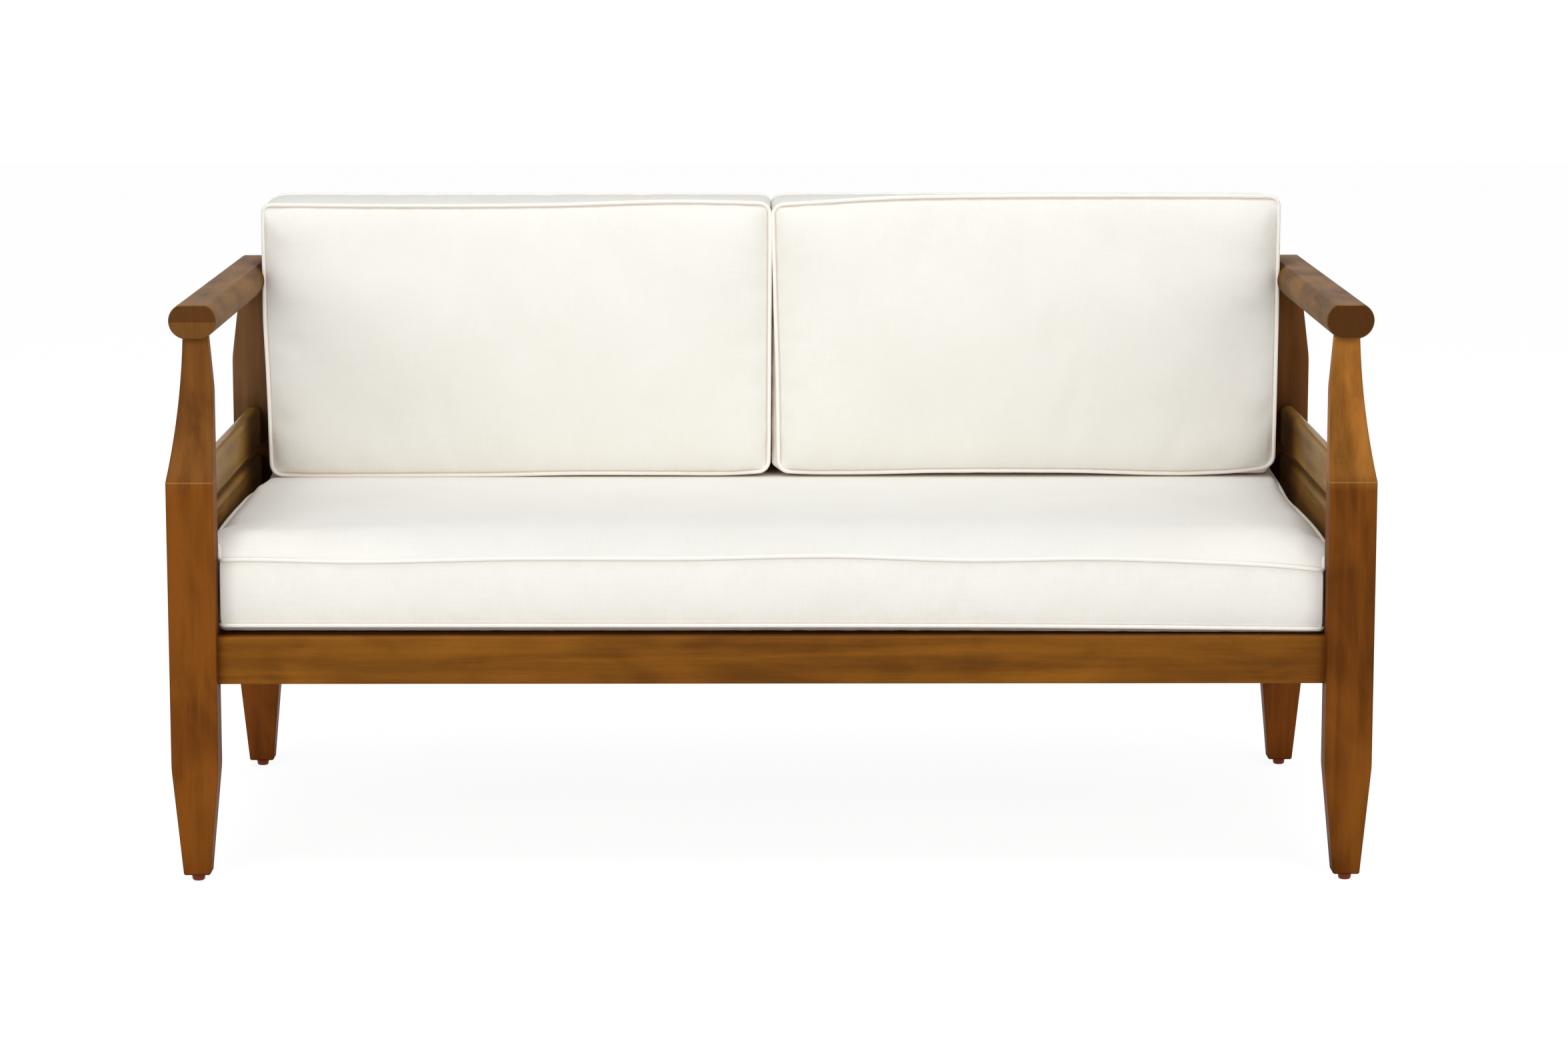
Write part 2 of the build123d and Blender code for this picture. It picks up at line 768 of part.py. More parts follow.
def make_nodes():
    """Every sub-part of the loveseat, by name."""
    nodes = {}
    board_names = ("upper", "middle", "lower")
    pairs = {
        "front_leg": front_leg(), "rear_leg": rear_leg(), "arm": arm(),
        "side_rail": side_rail(), "side_ledger": side_ledger(),
    }
    for name, (z_low, z_high) in zip(board_names, board_spans()):
        pairs["side_board_" + name] = side_board(z_low, z_high)
    pairs["back_cushion"] = back_cushion()
    for name, shape in pairs.items():
        nodes[name + "_right"] = shape
        nodes[name + "_left"] = left_of(shape)

    nodes["front_rail"] = seat_rail(front_rail_y, 1)
    nodes["rear_rail"] = seat_rail(rear_rail_y, -1)
    nodes["seat_bearer"] = seat_bearer()
    for index, y in enumerate(seat_slat_places()):
        nodes[f"seat_slat_{index + 1}"] = seat_slat(y)

    back_top_low = back_top_rail_top - back_top_rail_height
    back_bottom_low = back_bottom_rail_top - back_bottom_rail_height
    nodes["back_top_rail"] = back_rail(back_top_low, back_top_rail_top, back_top_bolt_z)
    nodes["back_bottom_rail"] = back_rail(back_bottom_low, back_bottom_rail_top, back_bottom_bolt_z)
    for index, x in enumerate(back_slat_places()):
        slat = back_slat(x, 0)
        nodes[f"back_slat_{index + 1}"] = fillet(slat.edges().filter_by(Axis.Z), back_slat_arris)

    nodes["arm_dowels"] = group(both_sides(arm_dowel_set(dowel_radius, 0)))
    nodes["rail_bolts"] = group(both_sides([rail_bolt(y, z) for y, z in bolt_places()]))
    nodes["barrel_nuts"] = group(both_sides([barrel_nut(y, z) for y, z in bolt_places()]))
    nodes["slat_screws"] = group(slat_screws(screw))
    nodes["ledger_screws"] = group(both_sides(ledger_screws(screw)))
    nodes["foot_inserts"] = group([foot_insert(x, y) for x, y in foot_places().values()])
    for name, (x, y) in foot_places().items():
        nodes["glide_" + name] = glide(x, y)
        nodes["glide_stud_" + name] = glide_stud(x, y)

    nodes["seat_cushion"] = seat_cushion()
    return nodes


os.makedirs("parts", exist_ok=True)
for node_name, node_shape in make_nodes().items():
    export_step(node_shape, f"parts/{node_name}.step")
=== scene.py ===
import math

import bpy
import numpy as np
from mathutils import Euler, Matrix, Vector


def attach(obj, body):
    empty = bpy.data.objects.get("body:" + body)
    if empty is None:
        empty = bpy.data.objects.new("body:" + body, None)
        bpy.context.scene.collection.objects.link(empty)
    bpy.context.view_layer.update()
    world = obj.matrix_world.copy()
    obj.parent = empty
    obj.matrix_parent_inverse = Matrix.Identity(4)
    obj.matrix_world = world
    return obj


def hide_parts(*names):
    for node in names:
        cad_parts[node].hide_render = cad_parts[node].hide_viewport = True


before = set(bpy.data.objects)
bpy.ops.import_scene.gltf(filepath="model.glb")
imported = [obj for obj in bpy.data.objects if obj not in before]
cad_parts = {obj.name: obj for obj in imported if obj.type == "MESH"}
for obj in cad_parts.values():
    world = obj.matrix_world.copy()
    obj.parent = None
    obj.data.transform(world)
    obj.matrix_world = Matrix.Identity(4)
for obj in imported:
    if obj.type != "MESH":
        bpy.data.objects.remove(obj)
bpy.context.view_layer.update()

# The looks of a patio loveseat: an oiled hardwood frame with loose cushions in cream fabric.
# Everything is in metres. +X runs along the seat, -Y is the front and +Z is up.


def linear(red, green, blue):
    """An sRGB colour, given in 0 to 255, as the linear colour that a shader takes."""
    def channel(value):
        value = value / 255
        return value / 12.92 if value <= 0.04045 else ((value + 0.055) / 1.055) ** 2.4
    return channel(red), channel(green), channel(blue)


# Camera, fitted to the photograph
CAMERA_PLACE = Vector((-0.008, -5.2415, 1.1763))
CAMERA_PITCH = math.radians(8.707)
CAMERA_YAW = math.radians(0.258)
CAMERA_FOCAL_PIXELS = 6433.5
PHOTO_WIDTH_PIXELS = 2352
SENSOR_WIDTH = 36.0

# World and floor
WORLD_STRENGTH = 0.37
BACKGROUND_STRENGTH = 1.0
FLOOR_SIZE = 24.0
FLOOR_COLOR = (0.9, 0.9, 0.9, 1.0)
FLOOR_GLOW_SHARE = 0.77
FLOOR_GLOW = 1.18
WHITE = (1.0, 1.0, 1.0, 1.0)

# Lamps: place, width and height, power in watts, and colour. All face one point.
LAMP_TARGET = (0.0, 0.0, 0.4)
WARM_LIGHT = (1.0, 0.99, 0.97)
COOL_LIGHT = (0.95, 0.97, 1.0)
LAMPS = {
    "key": ((-2.2, -4.2, 1.8), (2.6, 2.2), 71.0, WARM_LIGHT),
    "fill": ((2.4, -4.2, 1.8), (2.6, 2.2), 53.0, WARM_LIGHT),
    "top": ((0.0, -0.9, 3.4), (3.0, 2.0), 47.0, COOL_LIGHT),
}


def fill_inputs(tree, node, inputs):
    """Links each input that is given another node's socket, and sets any other."""
    for name, value in inputs.items():
        if isinstance(value, bpy.types.NodeSocket):
            tree.links.new(value, node.inputs[name])
        else:
            node.inputs[name].default_value = value


def add_node(tree, kind, inputs=None, **settings):
    """Adds a shader node with its inputs and settings."""
    made = tree.nodes.new("ShaderNode" + kind)
    for name, value in settings.items():
        setattr(made, name, value)
    fill_inputs(tree, made, inputs or {})
    return made


def empty_tree(owner):
    """The node tree of a material or a world, with nothing in it."""
    owner.use_nodes = True
    owner.node_tree.nodes.clear()
    return owner.node_tree


def new_material(name):
    """An empty material with its shader and output, ready for its nodes."""
    material = bpy.data.materials.new(name)
    tree = empty_tree(material)
    shader = add_node(tree, "BsdfPrincipled")
    add_node(tree, "OutputMaterial", {"Surface": shader.outputs["BSDF"]})
    return material, tree, shader


def arithmetic(tree, operation, first, second=0.0, clamp=False):
    """The output of a Math node."""
    return add_node(tree, "Math", {0: first, 1: second}, operation=operation, use_clamp=clamp).outputs[0]


def weighted_sum(tree, parts, start=0.0):
    """The sum of values times their weights, added to a start."""
    total = start
    for value, weight in parts:
        total = arithmetic(tree, "ADD", arithmetic(tree, "MULTIPLY", value, weight), total)
    return total


def remap(tree, value, source, target=(0.0, 1.0)):
    """A value carried from one range to another one, and held inside it."""
    ends = {1: source[0], 2: source[1], 3: target[0], 4: target[1]}
    return add_node(tree, "MapRange", {"Value": value, **ends}).outputs[0]


def mapped(tree, place, shift=(0.0, 0.0, 0.0), turn=(0.0, 0.0, 0.0), scale=(1.0, 1.0, 1.0)):
    """A place after a shift, a turn and a stretch."""
    inputs = {"Vector": place, "Location": shift, "Rotation": turn, "Scale": scale}
    return add_node(tree, "Mapping", inputs).outputs["Vector"]


def split(tree, vector):
    """The outputs X, Y and Z of a vector."""
    return add_node(tree, "SeparateXYZ", {"Vector": vector}).outputs


def noise(tree, place, scale, detail=3.0, roughness=0.5, distortion=0.0):
    """The value of a Noise texture."""
    made = add_node(tree, "TexNoise", {
        "Vector": place, "Scale": scale, "Detail": detail, "Roughness": roughness, "Distortion": distortion,
    })
    return made.outputs["Fac"]


def ramp(tree, value, stops):
    """The colour that a value picks from stops of position and colour."""
    made = add_node(tree, "ValToRGB", {"Fac": value})
    elements = made.color_ramp.elements
    while len(elements) < len(stops):
        elements.new(0.5)
    for element, (position, color) in zip(elements, stops):
        element.position = position
        element.color = (*color, 1.0)
    return made.outputs["Color"]


def mix(tree, share, first, second, blend="MIX"):
    """The second colour laid over the first one, or blended with it, by a share."""
    inputs = {"Fac": share}
    for name, value in (("Color1", first), ("Color2", second)):
        inputs[name] = value if isinstance(value, bpy.types.NodeSocket) else (*value, 1.0)
    return add_node(tree, "MixRGB", inputs, blend_type=blend).outputs["Color"]


def scaled(color, share):
    """A colour darkened to a share of itself."""
    return tuple(part * share for part in color)


# Turns that bring each grain direction onto the texture's own Z axis
GRAIN_TURNS = {
    "x": (0.0, math.radians(90), 0.0),
    "y": (math.radians(90), 0.0, 0.0),
    "z": (0.0, 0.0, 0.0),
}

# The wood's noises: stretch along the grain, scale, and the noise's other settings
GRAIN = {
    "bands": (0.06, 46.0, {"detail": 2.0, "roughness": 0.4, "distortion": 0.5}),
    "streaks": (0.04, 170.0, {"detail": 3.0, "roughness": 0.6}),
    "fibres": (0.025, 900.0, {"detail": 4.0, "roughness": 0.65}),
    "clouds": (0.45, 15.0, {"detail": 3.0, "distortion": 1.2}),
    "reddening": (0.09, 26.0, {"detail": 2.0, "distortion": 0.5}),
    "pores": (0.05, 1150.0, {"detail": 2.0, "roughness": 0.7}),
}
NOISE_MIDDLE = 0.5
NOISE_SPAN = (0.3, 0.7)

# How much each noise moves the wood's tone. The clouds also follow the figure of each piece.
TONE_WEIGHTS = {"bands": 0.95, "streaks": 0.30, "fibres": 0.38}
CLOUD_WEIGHT = 1.5
TONE_SHARES = ((0.22, (0.62, 0.60, 0.52)), (0.50, (1.0, 1.0, 1.0)), (0.78, (1.32, 1.36, 1.55)))

# Reddish patches, dark pores and the bump that goes with them
RED_SHARES = (1.0, 0.72, 0.55)
RED_RANGES = ((0.48, 0.68), (0.0, 0.22))
PORE_RANGES = ((0.62, 0.76), (0.0, 0.40))
PORE_SHADE = 0.3
FIBRE_RELIEF = 0.6
WOOD_BUMP = {"Strength": 0.12, "Distance": 0.0005}

# Faces that look away from the seat, by how far they face along X
OUTER_FACING = (0.2, 0.6)

# A painted highlight along an edge: how far from it the highlight reaches, and how much of it has no streaks
RIDGE_HIGHLIGHT_RANGES = ((0.0003, 0.0011), (0.55, 0.0))
RIDGE_HIGHLIGHT_LEAST = 0.35

# Painted shade in the corners, where little of the surroundings is open: the colour is darkened there, and
# the wood is also made rougher, so duller
PAINTED_CORNER_SHADE = (0.36, 0.26, 0.24)
CORNER_REACH = 0.10
CORNER_SAMPLES = 8
PAINTED_CORNER_SHADE_RANGES = ((0.20, 0.75), (0.85, 0.0))
CORNER_DULL_RANGES = ((0.45, 0.90), (0.95, 0.0))

# End grain: which faces show it, and the rays that cross it
END_FACING = (0.80, 0.95)
RAY_TURN = (0.0, math.radians(24), 0.0)
RAY_STRETCH = (1.0, 1.0, 0.12)
RAY_SCALE = 330.0
RAY_SHARES = (0.0, 0.32)
RAY_SHADE = 0.6
GLUE_LINE_HEIGHT = 0.6585


def wood(name, grain, shift, tone_color, figure=0.5, gloss=0.08, roughness=(0.45, 0.58),
         ends=None, ridge=None, low_color=None, change=None, outer=None):
    """Oiled acacia: soft bands and fine fibres along the grain, short dark pores and a cloudy figure.

    grain is the axis of the grain, and shift picks the part of the figure that the piece shows.
    ends is the upper and the lower colour of end grain that faces the front, and ridge is the height of
    an edge that gets a painted highlight. low_color is the colour low down, and change is where it gives way.
    outer is the side that faces away from the seat, -1 or 1, and its colour.
    """
    material, tree, shader = new_material(name)
    place = add_node(tree, "TexCoord").outputs["Object"]
    turned = mapped(tree, place, shift, GRAIN_TURNS[grain])
    noises = {}
    for part, (stretch, scale, rest) in GRAIN.items():
        noises[part] = noise(tree, mapped(tree, turned, scale=(1.0, 1.0, stretch)), scale, **rest)
    weights = {**TONE_WEIGHTS, "clouds": CLOUD_WEIGHT * figure}
    tone = weighted_sum(tree, [
        (arithmetic(tree, "SUBTRACT", noises[part], NOISE_MIDDLE), weight) for part, weight in weights.items()
    ], start=NOISE_MIDDLE)
    middle = tone_color
    if low_color:
        middle = mix(tree, remap(tree, split(tree, place)["Z"], change), low_color, tone_color)
    # Faces towards the seat keep the tone colour, which on the boards holds a painted olive sheen; faces away
    # from it get the outer colour
    if outer:
        side, outer_color = outer
        facing = split(tree, add_node(tree, "NewGeometry").outputs["Normal"])
        outward = arithmetic(tree, "MULTIPLY", facing["X"], side)
        middle = mix(tree, remap(tree, outward, OUTER_FACING), middle, outer_color)
    color = mix(tree, 1.0, middle, ramp(tree, tone, TONE_SHARES), "MULTIPLY")
    color = mix(tree, remap(tree, noises["reddening"], *RED_RANGES), color, RED_SHARES, "MULTIPLY")
    pits = remap(tree, noises["pores"], *PORE_RANGES)
    color = mix(tree, pits, color, scaled(tone_color, PORE_SHADE))
    if ends:
        color = end_grain(tree, place, color, ends)
    # A painted highlight along the ridge, where its edge catches the light
    if ridge:
        away = arithmetic(tree, "ABSOLUTE", arithmetic(tree, "SUBTRACT", split(tree, place)["Z"], ridge))
        uneven = arithmetic(tree, "ADD", noises["streaks"], RIDGE_HIGHLIGHT_LEAST)
        painted_highlight = arithmetic(tree, "MULTIPLY", remap(tree, away, *RIDGE_HIGHLIGHT_RANGES), uneven, clamp=True)
        color = mix(tree, painted_highlight, color, PAINTED_RIDGE_HIGHLIGHT)
    corner = add_node(tree, "AmbientOcclusion", {"Distance": CORNER_REACH}, samples=CORNER_SAMPLES)
    openness = corner.outputs["AO"]
    # Painted shade: the colour is darkened where little of the surroundings is open
    color = mix(tree, remap(tree, openness, *PAINTED_CORNER_SHADE_RANGES), color, PAINTED_CORNER_SHADE, "MULTIPLY")
    rough = remap(tree, noises["fibres"], NOISE_SPAN, roughness)
    rough = arithmetic(tree, "MAXIMUM", rough, remap(tree, openness, *CORNER_DULL_RANGES))
    relief = arithmetic(tree, "SUBTRACT", arithmetic(tree, "MULTIPLY", noises["fibres"], FIBRE_RELIEF), pits)
    fill_inputs(tree, shader, {
        "Base Color": color,
        "Roughness": rough,
        "Normal": add_node(tree, "Bump", {"Height": relief, **WOOD_BUMP}).outputs["Normal"],
        "Specular IOR Level": gloss,
    })
    return material


def end_grain(tree, place, color, ends):
    """The colour with end grain added on faces that look along Y: two glued layers, upper and lower."""
    upper, lower = ends
    facing = split(tree, add_node(tree, "NewGeometry").outputs["Normal"])
    is_end = remap(tree, arithmetic(tree, "ABSOLUTE", facing["Y"]), END_FACING)
    high = arithmetic(tree, "GREATER_THAN", split(tree, place)["Z"], GLUE_LINE_HEIGHT)
    layers = mix(tree, high, lower, upper)
    slant = mapped(tree, place, turn=RAY_TURN, scale=RAY_STRETCH)
    rays = remap(tree, noise(tree, slant, RAY_SCALE), NOISE_SPAN, RAY_SHARES)
    return mix(tree, is_end, color, mix(tree, rays, layers, scaled(upper, RAY_SHADE)))


# Colours of the cloth
CREAM = linear(241, 240, 234)
CREAM_SHADE = linear(232, 229, 221)
PIPING_CREAM = linear(243, 241, 234)
SEAM_SHADE = linear(190, 166, 146)

# Weave of the cloth, its slubs and a soft unevenness, how much each moves its tone, and its finish
THREAD_PITCH = 0.0009
BIAS_TURN = (0.0, 0.0, math.radians(45))
SLUB_SCALE = 900.0
SLUB_STRETCH = 0.03
SOFT_NOISE = {"scale": 9.0, "detail": 4.0}
SLUB_WEIGHT = 0.24
SOFT_WEIGHT = 0.28
WEAVE_WEIGHT = 0.08
SHADE_AT = 0.20
CREAM_AT = 0.55
CLOTH_RELIEF = 0.5
CLOTH_BUMP = {"Strength": 0.22, "Distance": 0.0004}
CLOTH_FINISH = {"Roughness": 0.88, "Specular IOR Level": 0.25, "Sheen Weight": 0.18, "Sheen Roughness": 0.55}

# The painted shadow line beside the piping, by its distance from the seam, and painted warm shade in narrow
# folds
SEAM_SHADOW_FROM = 0.0024
SEAM_SHADOW_TO = 0.0038
SEAM_SHADOW_SHARES = (0.5, 0.0)
FOLD_PAINTED_SHADE = (1.0, 0.86, 0.80)
FOLD_REACH = 0.02
FOLD_SAMPLES = 6
FOLD_PAINTED_SHADE_RANGES = ((0.08, 0.50), (1.0, 0.0))


def fabric(name, color, shade, bias=False):
    """Plain-woven outdoor cloth. Its UV map is in metres along the warp and the weft.

    bias is for the piping: the weave lies at a slant, and no painted shadow line is laid on it.
    """
    material, tree, shader = new_material(name)
    place = add_node(tree, "UVMap").outputs["UV"]
    if bias:
        place = mapped(tree, place, turn=BIAS_TURN)
    threads = split(tree, place)
    turn = math.pi / THREAD_PITCH
    warp = arithmetic(tree, "SINE", arithmetic(tree, "MULTIPLY", threads["X"], turn))
    weft = arithmetic(tree, "SINE", arithmetic(tree, "MULTIPLY", threads["Y"], turn))
    weave = arithmetic(tree, "MULTIPLY", warp, weft)
    across = mapped(tree, place, scale=(1.0, SLUB_STRETCH, 1.0))
    down = mapped(tree, place, scale=(SLUB_STRETCH, 1.0, 1.0))
    slubs = arithmetic(tree, "ADD", noise(tree, across, SLUB_SCALE), noise(tree, down, SLUB_SCALE))
    soft = noise(tree, place, **SOFT_NOISE)
    tone = weighted_sum(tree, ((slubs, SLUB_WEIGHT), (soft, SOFT_WEIGHT), (weave, WEAVE_WEIGHT)))
    tinted = ramp(tree, tone, ((SHADE_AT, shade), (CREAM_AT, color)))
    # A painted shadow line: a thin darker band just beyond the piping, on one side of each seam
    if not bias:
        away = add_node(tree, "Attribute", attribute_name="seam").outputs["Fac"]
        seam_shadow = remap(tree, away, (SEAM_SHADOW_FROM, SEAM_SHADOW_TO), SEAM_SHADOW_SHARES)
        tinted = mix(tree, seam_shadow, tinted, SEAM_SHADE)
    # Painted warm shade in narrow folds and gaps, where little of the surroundings is open
    fold = add_node(tree, "AmbientOcclusion", {"Distance": FOLD_REACH}, samples=FOLD_SAMPLES).outputs["AO"]
    tinted = mix(tree, remap(tree, fold, *FOLD_PAINTED_SHADE_RANGES), tinted, FOLD_PAINTED_SHADE, "MULTIPLY")
    height = weighted_sum(tree, ((weave, CLOTH_RELIEF), (slubs, CLOTH_RELIEF)))
    fill_inputs(tree, shader, {
        "Base Color": tinted,
        "Normal": add_node(tree, "Bump", {"Height": height, **CLOTH_BUMP}).outputs["Normal"],
        **CLOTH_FINISH,
    })
    return material


# Moulded nylon of the glides
NYLON = linear(134, 52, 14)
MOTTLE_SCALE = 260.0
MOTTLE_SHADE = 0.7
MOTTLE_FROM = 0.35
MOTTLE_TO = 0.65
SKIN_NOISE = {"scale": 2600.0, "detail": 2.0}
SKIN_BUMP = {"Strength": 0.2, "Distance": 0.0002}
NYLON_FINISH = {"Roughness": 0.40, "Specular IOR Level": 0.2}


def plastic(name, color):
    """Moulded nylon with a faint mottle and a fine grained skin."""
    material, tree, shader = new_material(name)
    place = add_node(tree, "TexCoord").outputs["Object"]
    mottle = noise(tree, place, MOTTLE_SCALE)
    skin = noise(tree, place, **SKIN_NOISE)
    stops = ((MOTTLE_FROM, scaled(color, MOTTLE_SHADE)), (MOTTLE_TO, color))
    fill_inputs(tree, shader, {
        "Base Color": ramp(tree, mottle, stops),
        "Normal": add_node(tree, "Bump", {"Height": skin, **SKIN_BUMP}).outputs["Normal"],
        **NYLON_FINISH,
    })
    return material


# Zinc plate of the screws, bolts, nuts and studs
ZINC_STOPS = ((0.1, (0.50, 0.50, 0.49)), (0.8, (0.68, 0.68, 0.66)))
SPANGLE_SCALE = 420.0
BRUSH_NOISE = {"scale": 3000.0, "detail": 2.0}
ZINC_ROUGHNESS = (0.28, 0.44)


def steel(name):
    """Bright zinc plate with a fine brushed unevenness."""
    material, tree, shader = new_material(name)
    place = add_node(tree, "TexCoord").outputs["Object"]
    spangle = add_node(tree, "TexVoronoi", {"Vector": place, "Scale": SPANGLE_SCALE}).outputs["Distance"]
    fill_inputs(tree, shader, {
        "Base Color": ramp(tree, spangle, ZINC_STOPS),
        "Roughness": remap(tree, noise(tree, place, **BRUSH_NOISE), NOISE_SPAN, ZINC_ROUGHNESS),
        "Metallic": 1.0,
    })
    return material


# Meshes of the cushion covers. The rows are the distances of the closest mesh lines from each seam.
SEAM_ROWS = (0.0, 0.0032, 0.0064, 0.011, 0.017, 0.024)
PANEL_CELL = 0.010
BOXING_CELL = 0.014
BOXING_BULGE = 0.003

# How steeply a crown rises, a side's own line fades over its panel, and the boxing turns to a flat face
CROWN_POWER = 4
SIDE_POWER = 3
PRESS_POWER = 4
PRESS_RISE = 7

# The groove beside the piping, and its share on the side without the painted shadow line
GROOVE_AT = 0.0032
GROOVE_WIDTH = 0.0018
GROOVE_DEPTH = 0.0009
PLAIN_GROOVE = 0.3

# Gathers beside the seams: their waves, the patches where they are deeper, and their share on the boxing
GATHER_DEPTH = 0.0011
GATHER_START = 0.008
GATHER_REACH = 0.030
GATHER_WAVES = (0.0173, 0.0251, 0.0387)
GATHER_PHASE = 7
GATHER_PATCHES = ((11.0, 1.3), (5.3, 0.4))
GATHER_LEAST = 0.35
BOXING_GATHERS = 0.35

# Offsets along the seams, so that the sides of a panel and its boxing each have their own gathers
PANEL_OFFSETS = (3, 5)
BOXING_OFFSET = 9.0

# Piping
PIPING_RADIUS = 0.0025
PIPING_PROUD = 0.0009
PIPING_SIDES = 12
PIPING_SPACING = 0.004
PIPING_SMOOTHINGS = 2


def spaced(length, cell):
    """Places along a length, close together near both ends and about a cell apart between."""
    inner = length - 2 * SEAM_ROWS[-1]
    count = max(2, round(inner / cell))
    middle = [SEAM_ROWS[-1] + inner * index / count for index in range(1, count)]
    return np.array(list(SEAM_ROWS) + middle + [length - row for row in reversed(SEAM_ROWS)])


def rounded(u, v, corner):
    """Moves points of a rectangle so that its square corners become round ones."""
    half_u, half_v = np.abs(u).max(), np.abs(v).max()
    over_u = np.maximum(np.abs(u) - (half_u - corner), 0) / corner
    over_v = np.maximum(np.abs(v) - (half_v - corner), 0) / corner
    inside = (over_u > 0) & (over_v > 0)
    new_u = np.where(inside, half_u - corner + corner * over_u * np.sqrt(1 - over_v ** 2 / 2), np.abs(u))
    new_v = np.where(inside, half_v - corner + corner * over_v * np.sqrt(1 - over_u ** 2 / 2), np.abs(v))
    return np.copysign(new_u, u), np.copysign(new_v, v)


def smooth_step(value):
    """An even ramp from 0 to 1 with soft ends."""
    value = np.clip(value, 0, 1)
    return value * value * (3 - 2 * value)


def through(places, values):
    """A smooth curve through a few given places and values."""
    places, values = np.array(places), np.array(values)
    slopes = np.gradient(values, places)

    def curve(at):
        at = np.clip(at, places[0], places[-1])
        left = np.clip(np.searchsorted(places, at, side="right") - 1, 0, len(places) - 2)
        span = places[left + 1] - places[left]
        t = (at - places[left]) / span
        start, end = values[left], values[left + 1]
        return (
            (2 * t ** 3 - 3 * t ** 2 + 1) * start + (t ** 3 - 2 * t ** 2 + t) * span * slopes[left]
            + (3 * t ** 2 - 2 * t ** 3) * end + (t ** 3 - t ** 2) * span * slopes[left + 1]
        )
    return curve


def flat(value):
    """A curve that stays at one value."""
    return lambda at: np.full_like(at, value)


def soft_limit(value, limit, band):
    """Values that ease towards a limit over a band below it, and never pass it."""
    over = np.maximum(value - (limit - band), 0) / band
    return np.where(over > 0, limit - band * np.exp(-over), value)


def rise(distance, run):
    """How full a crown is at a distance from its seam."""
    return 1 - (1 - np.clip(distance / run, 0, 1)) ** CROWN_POWER


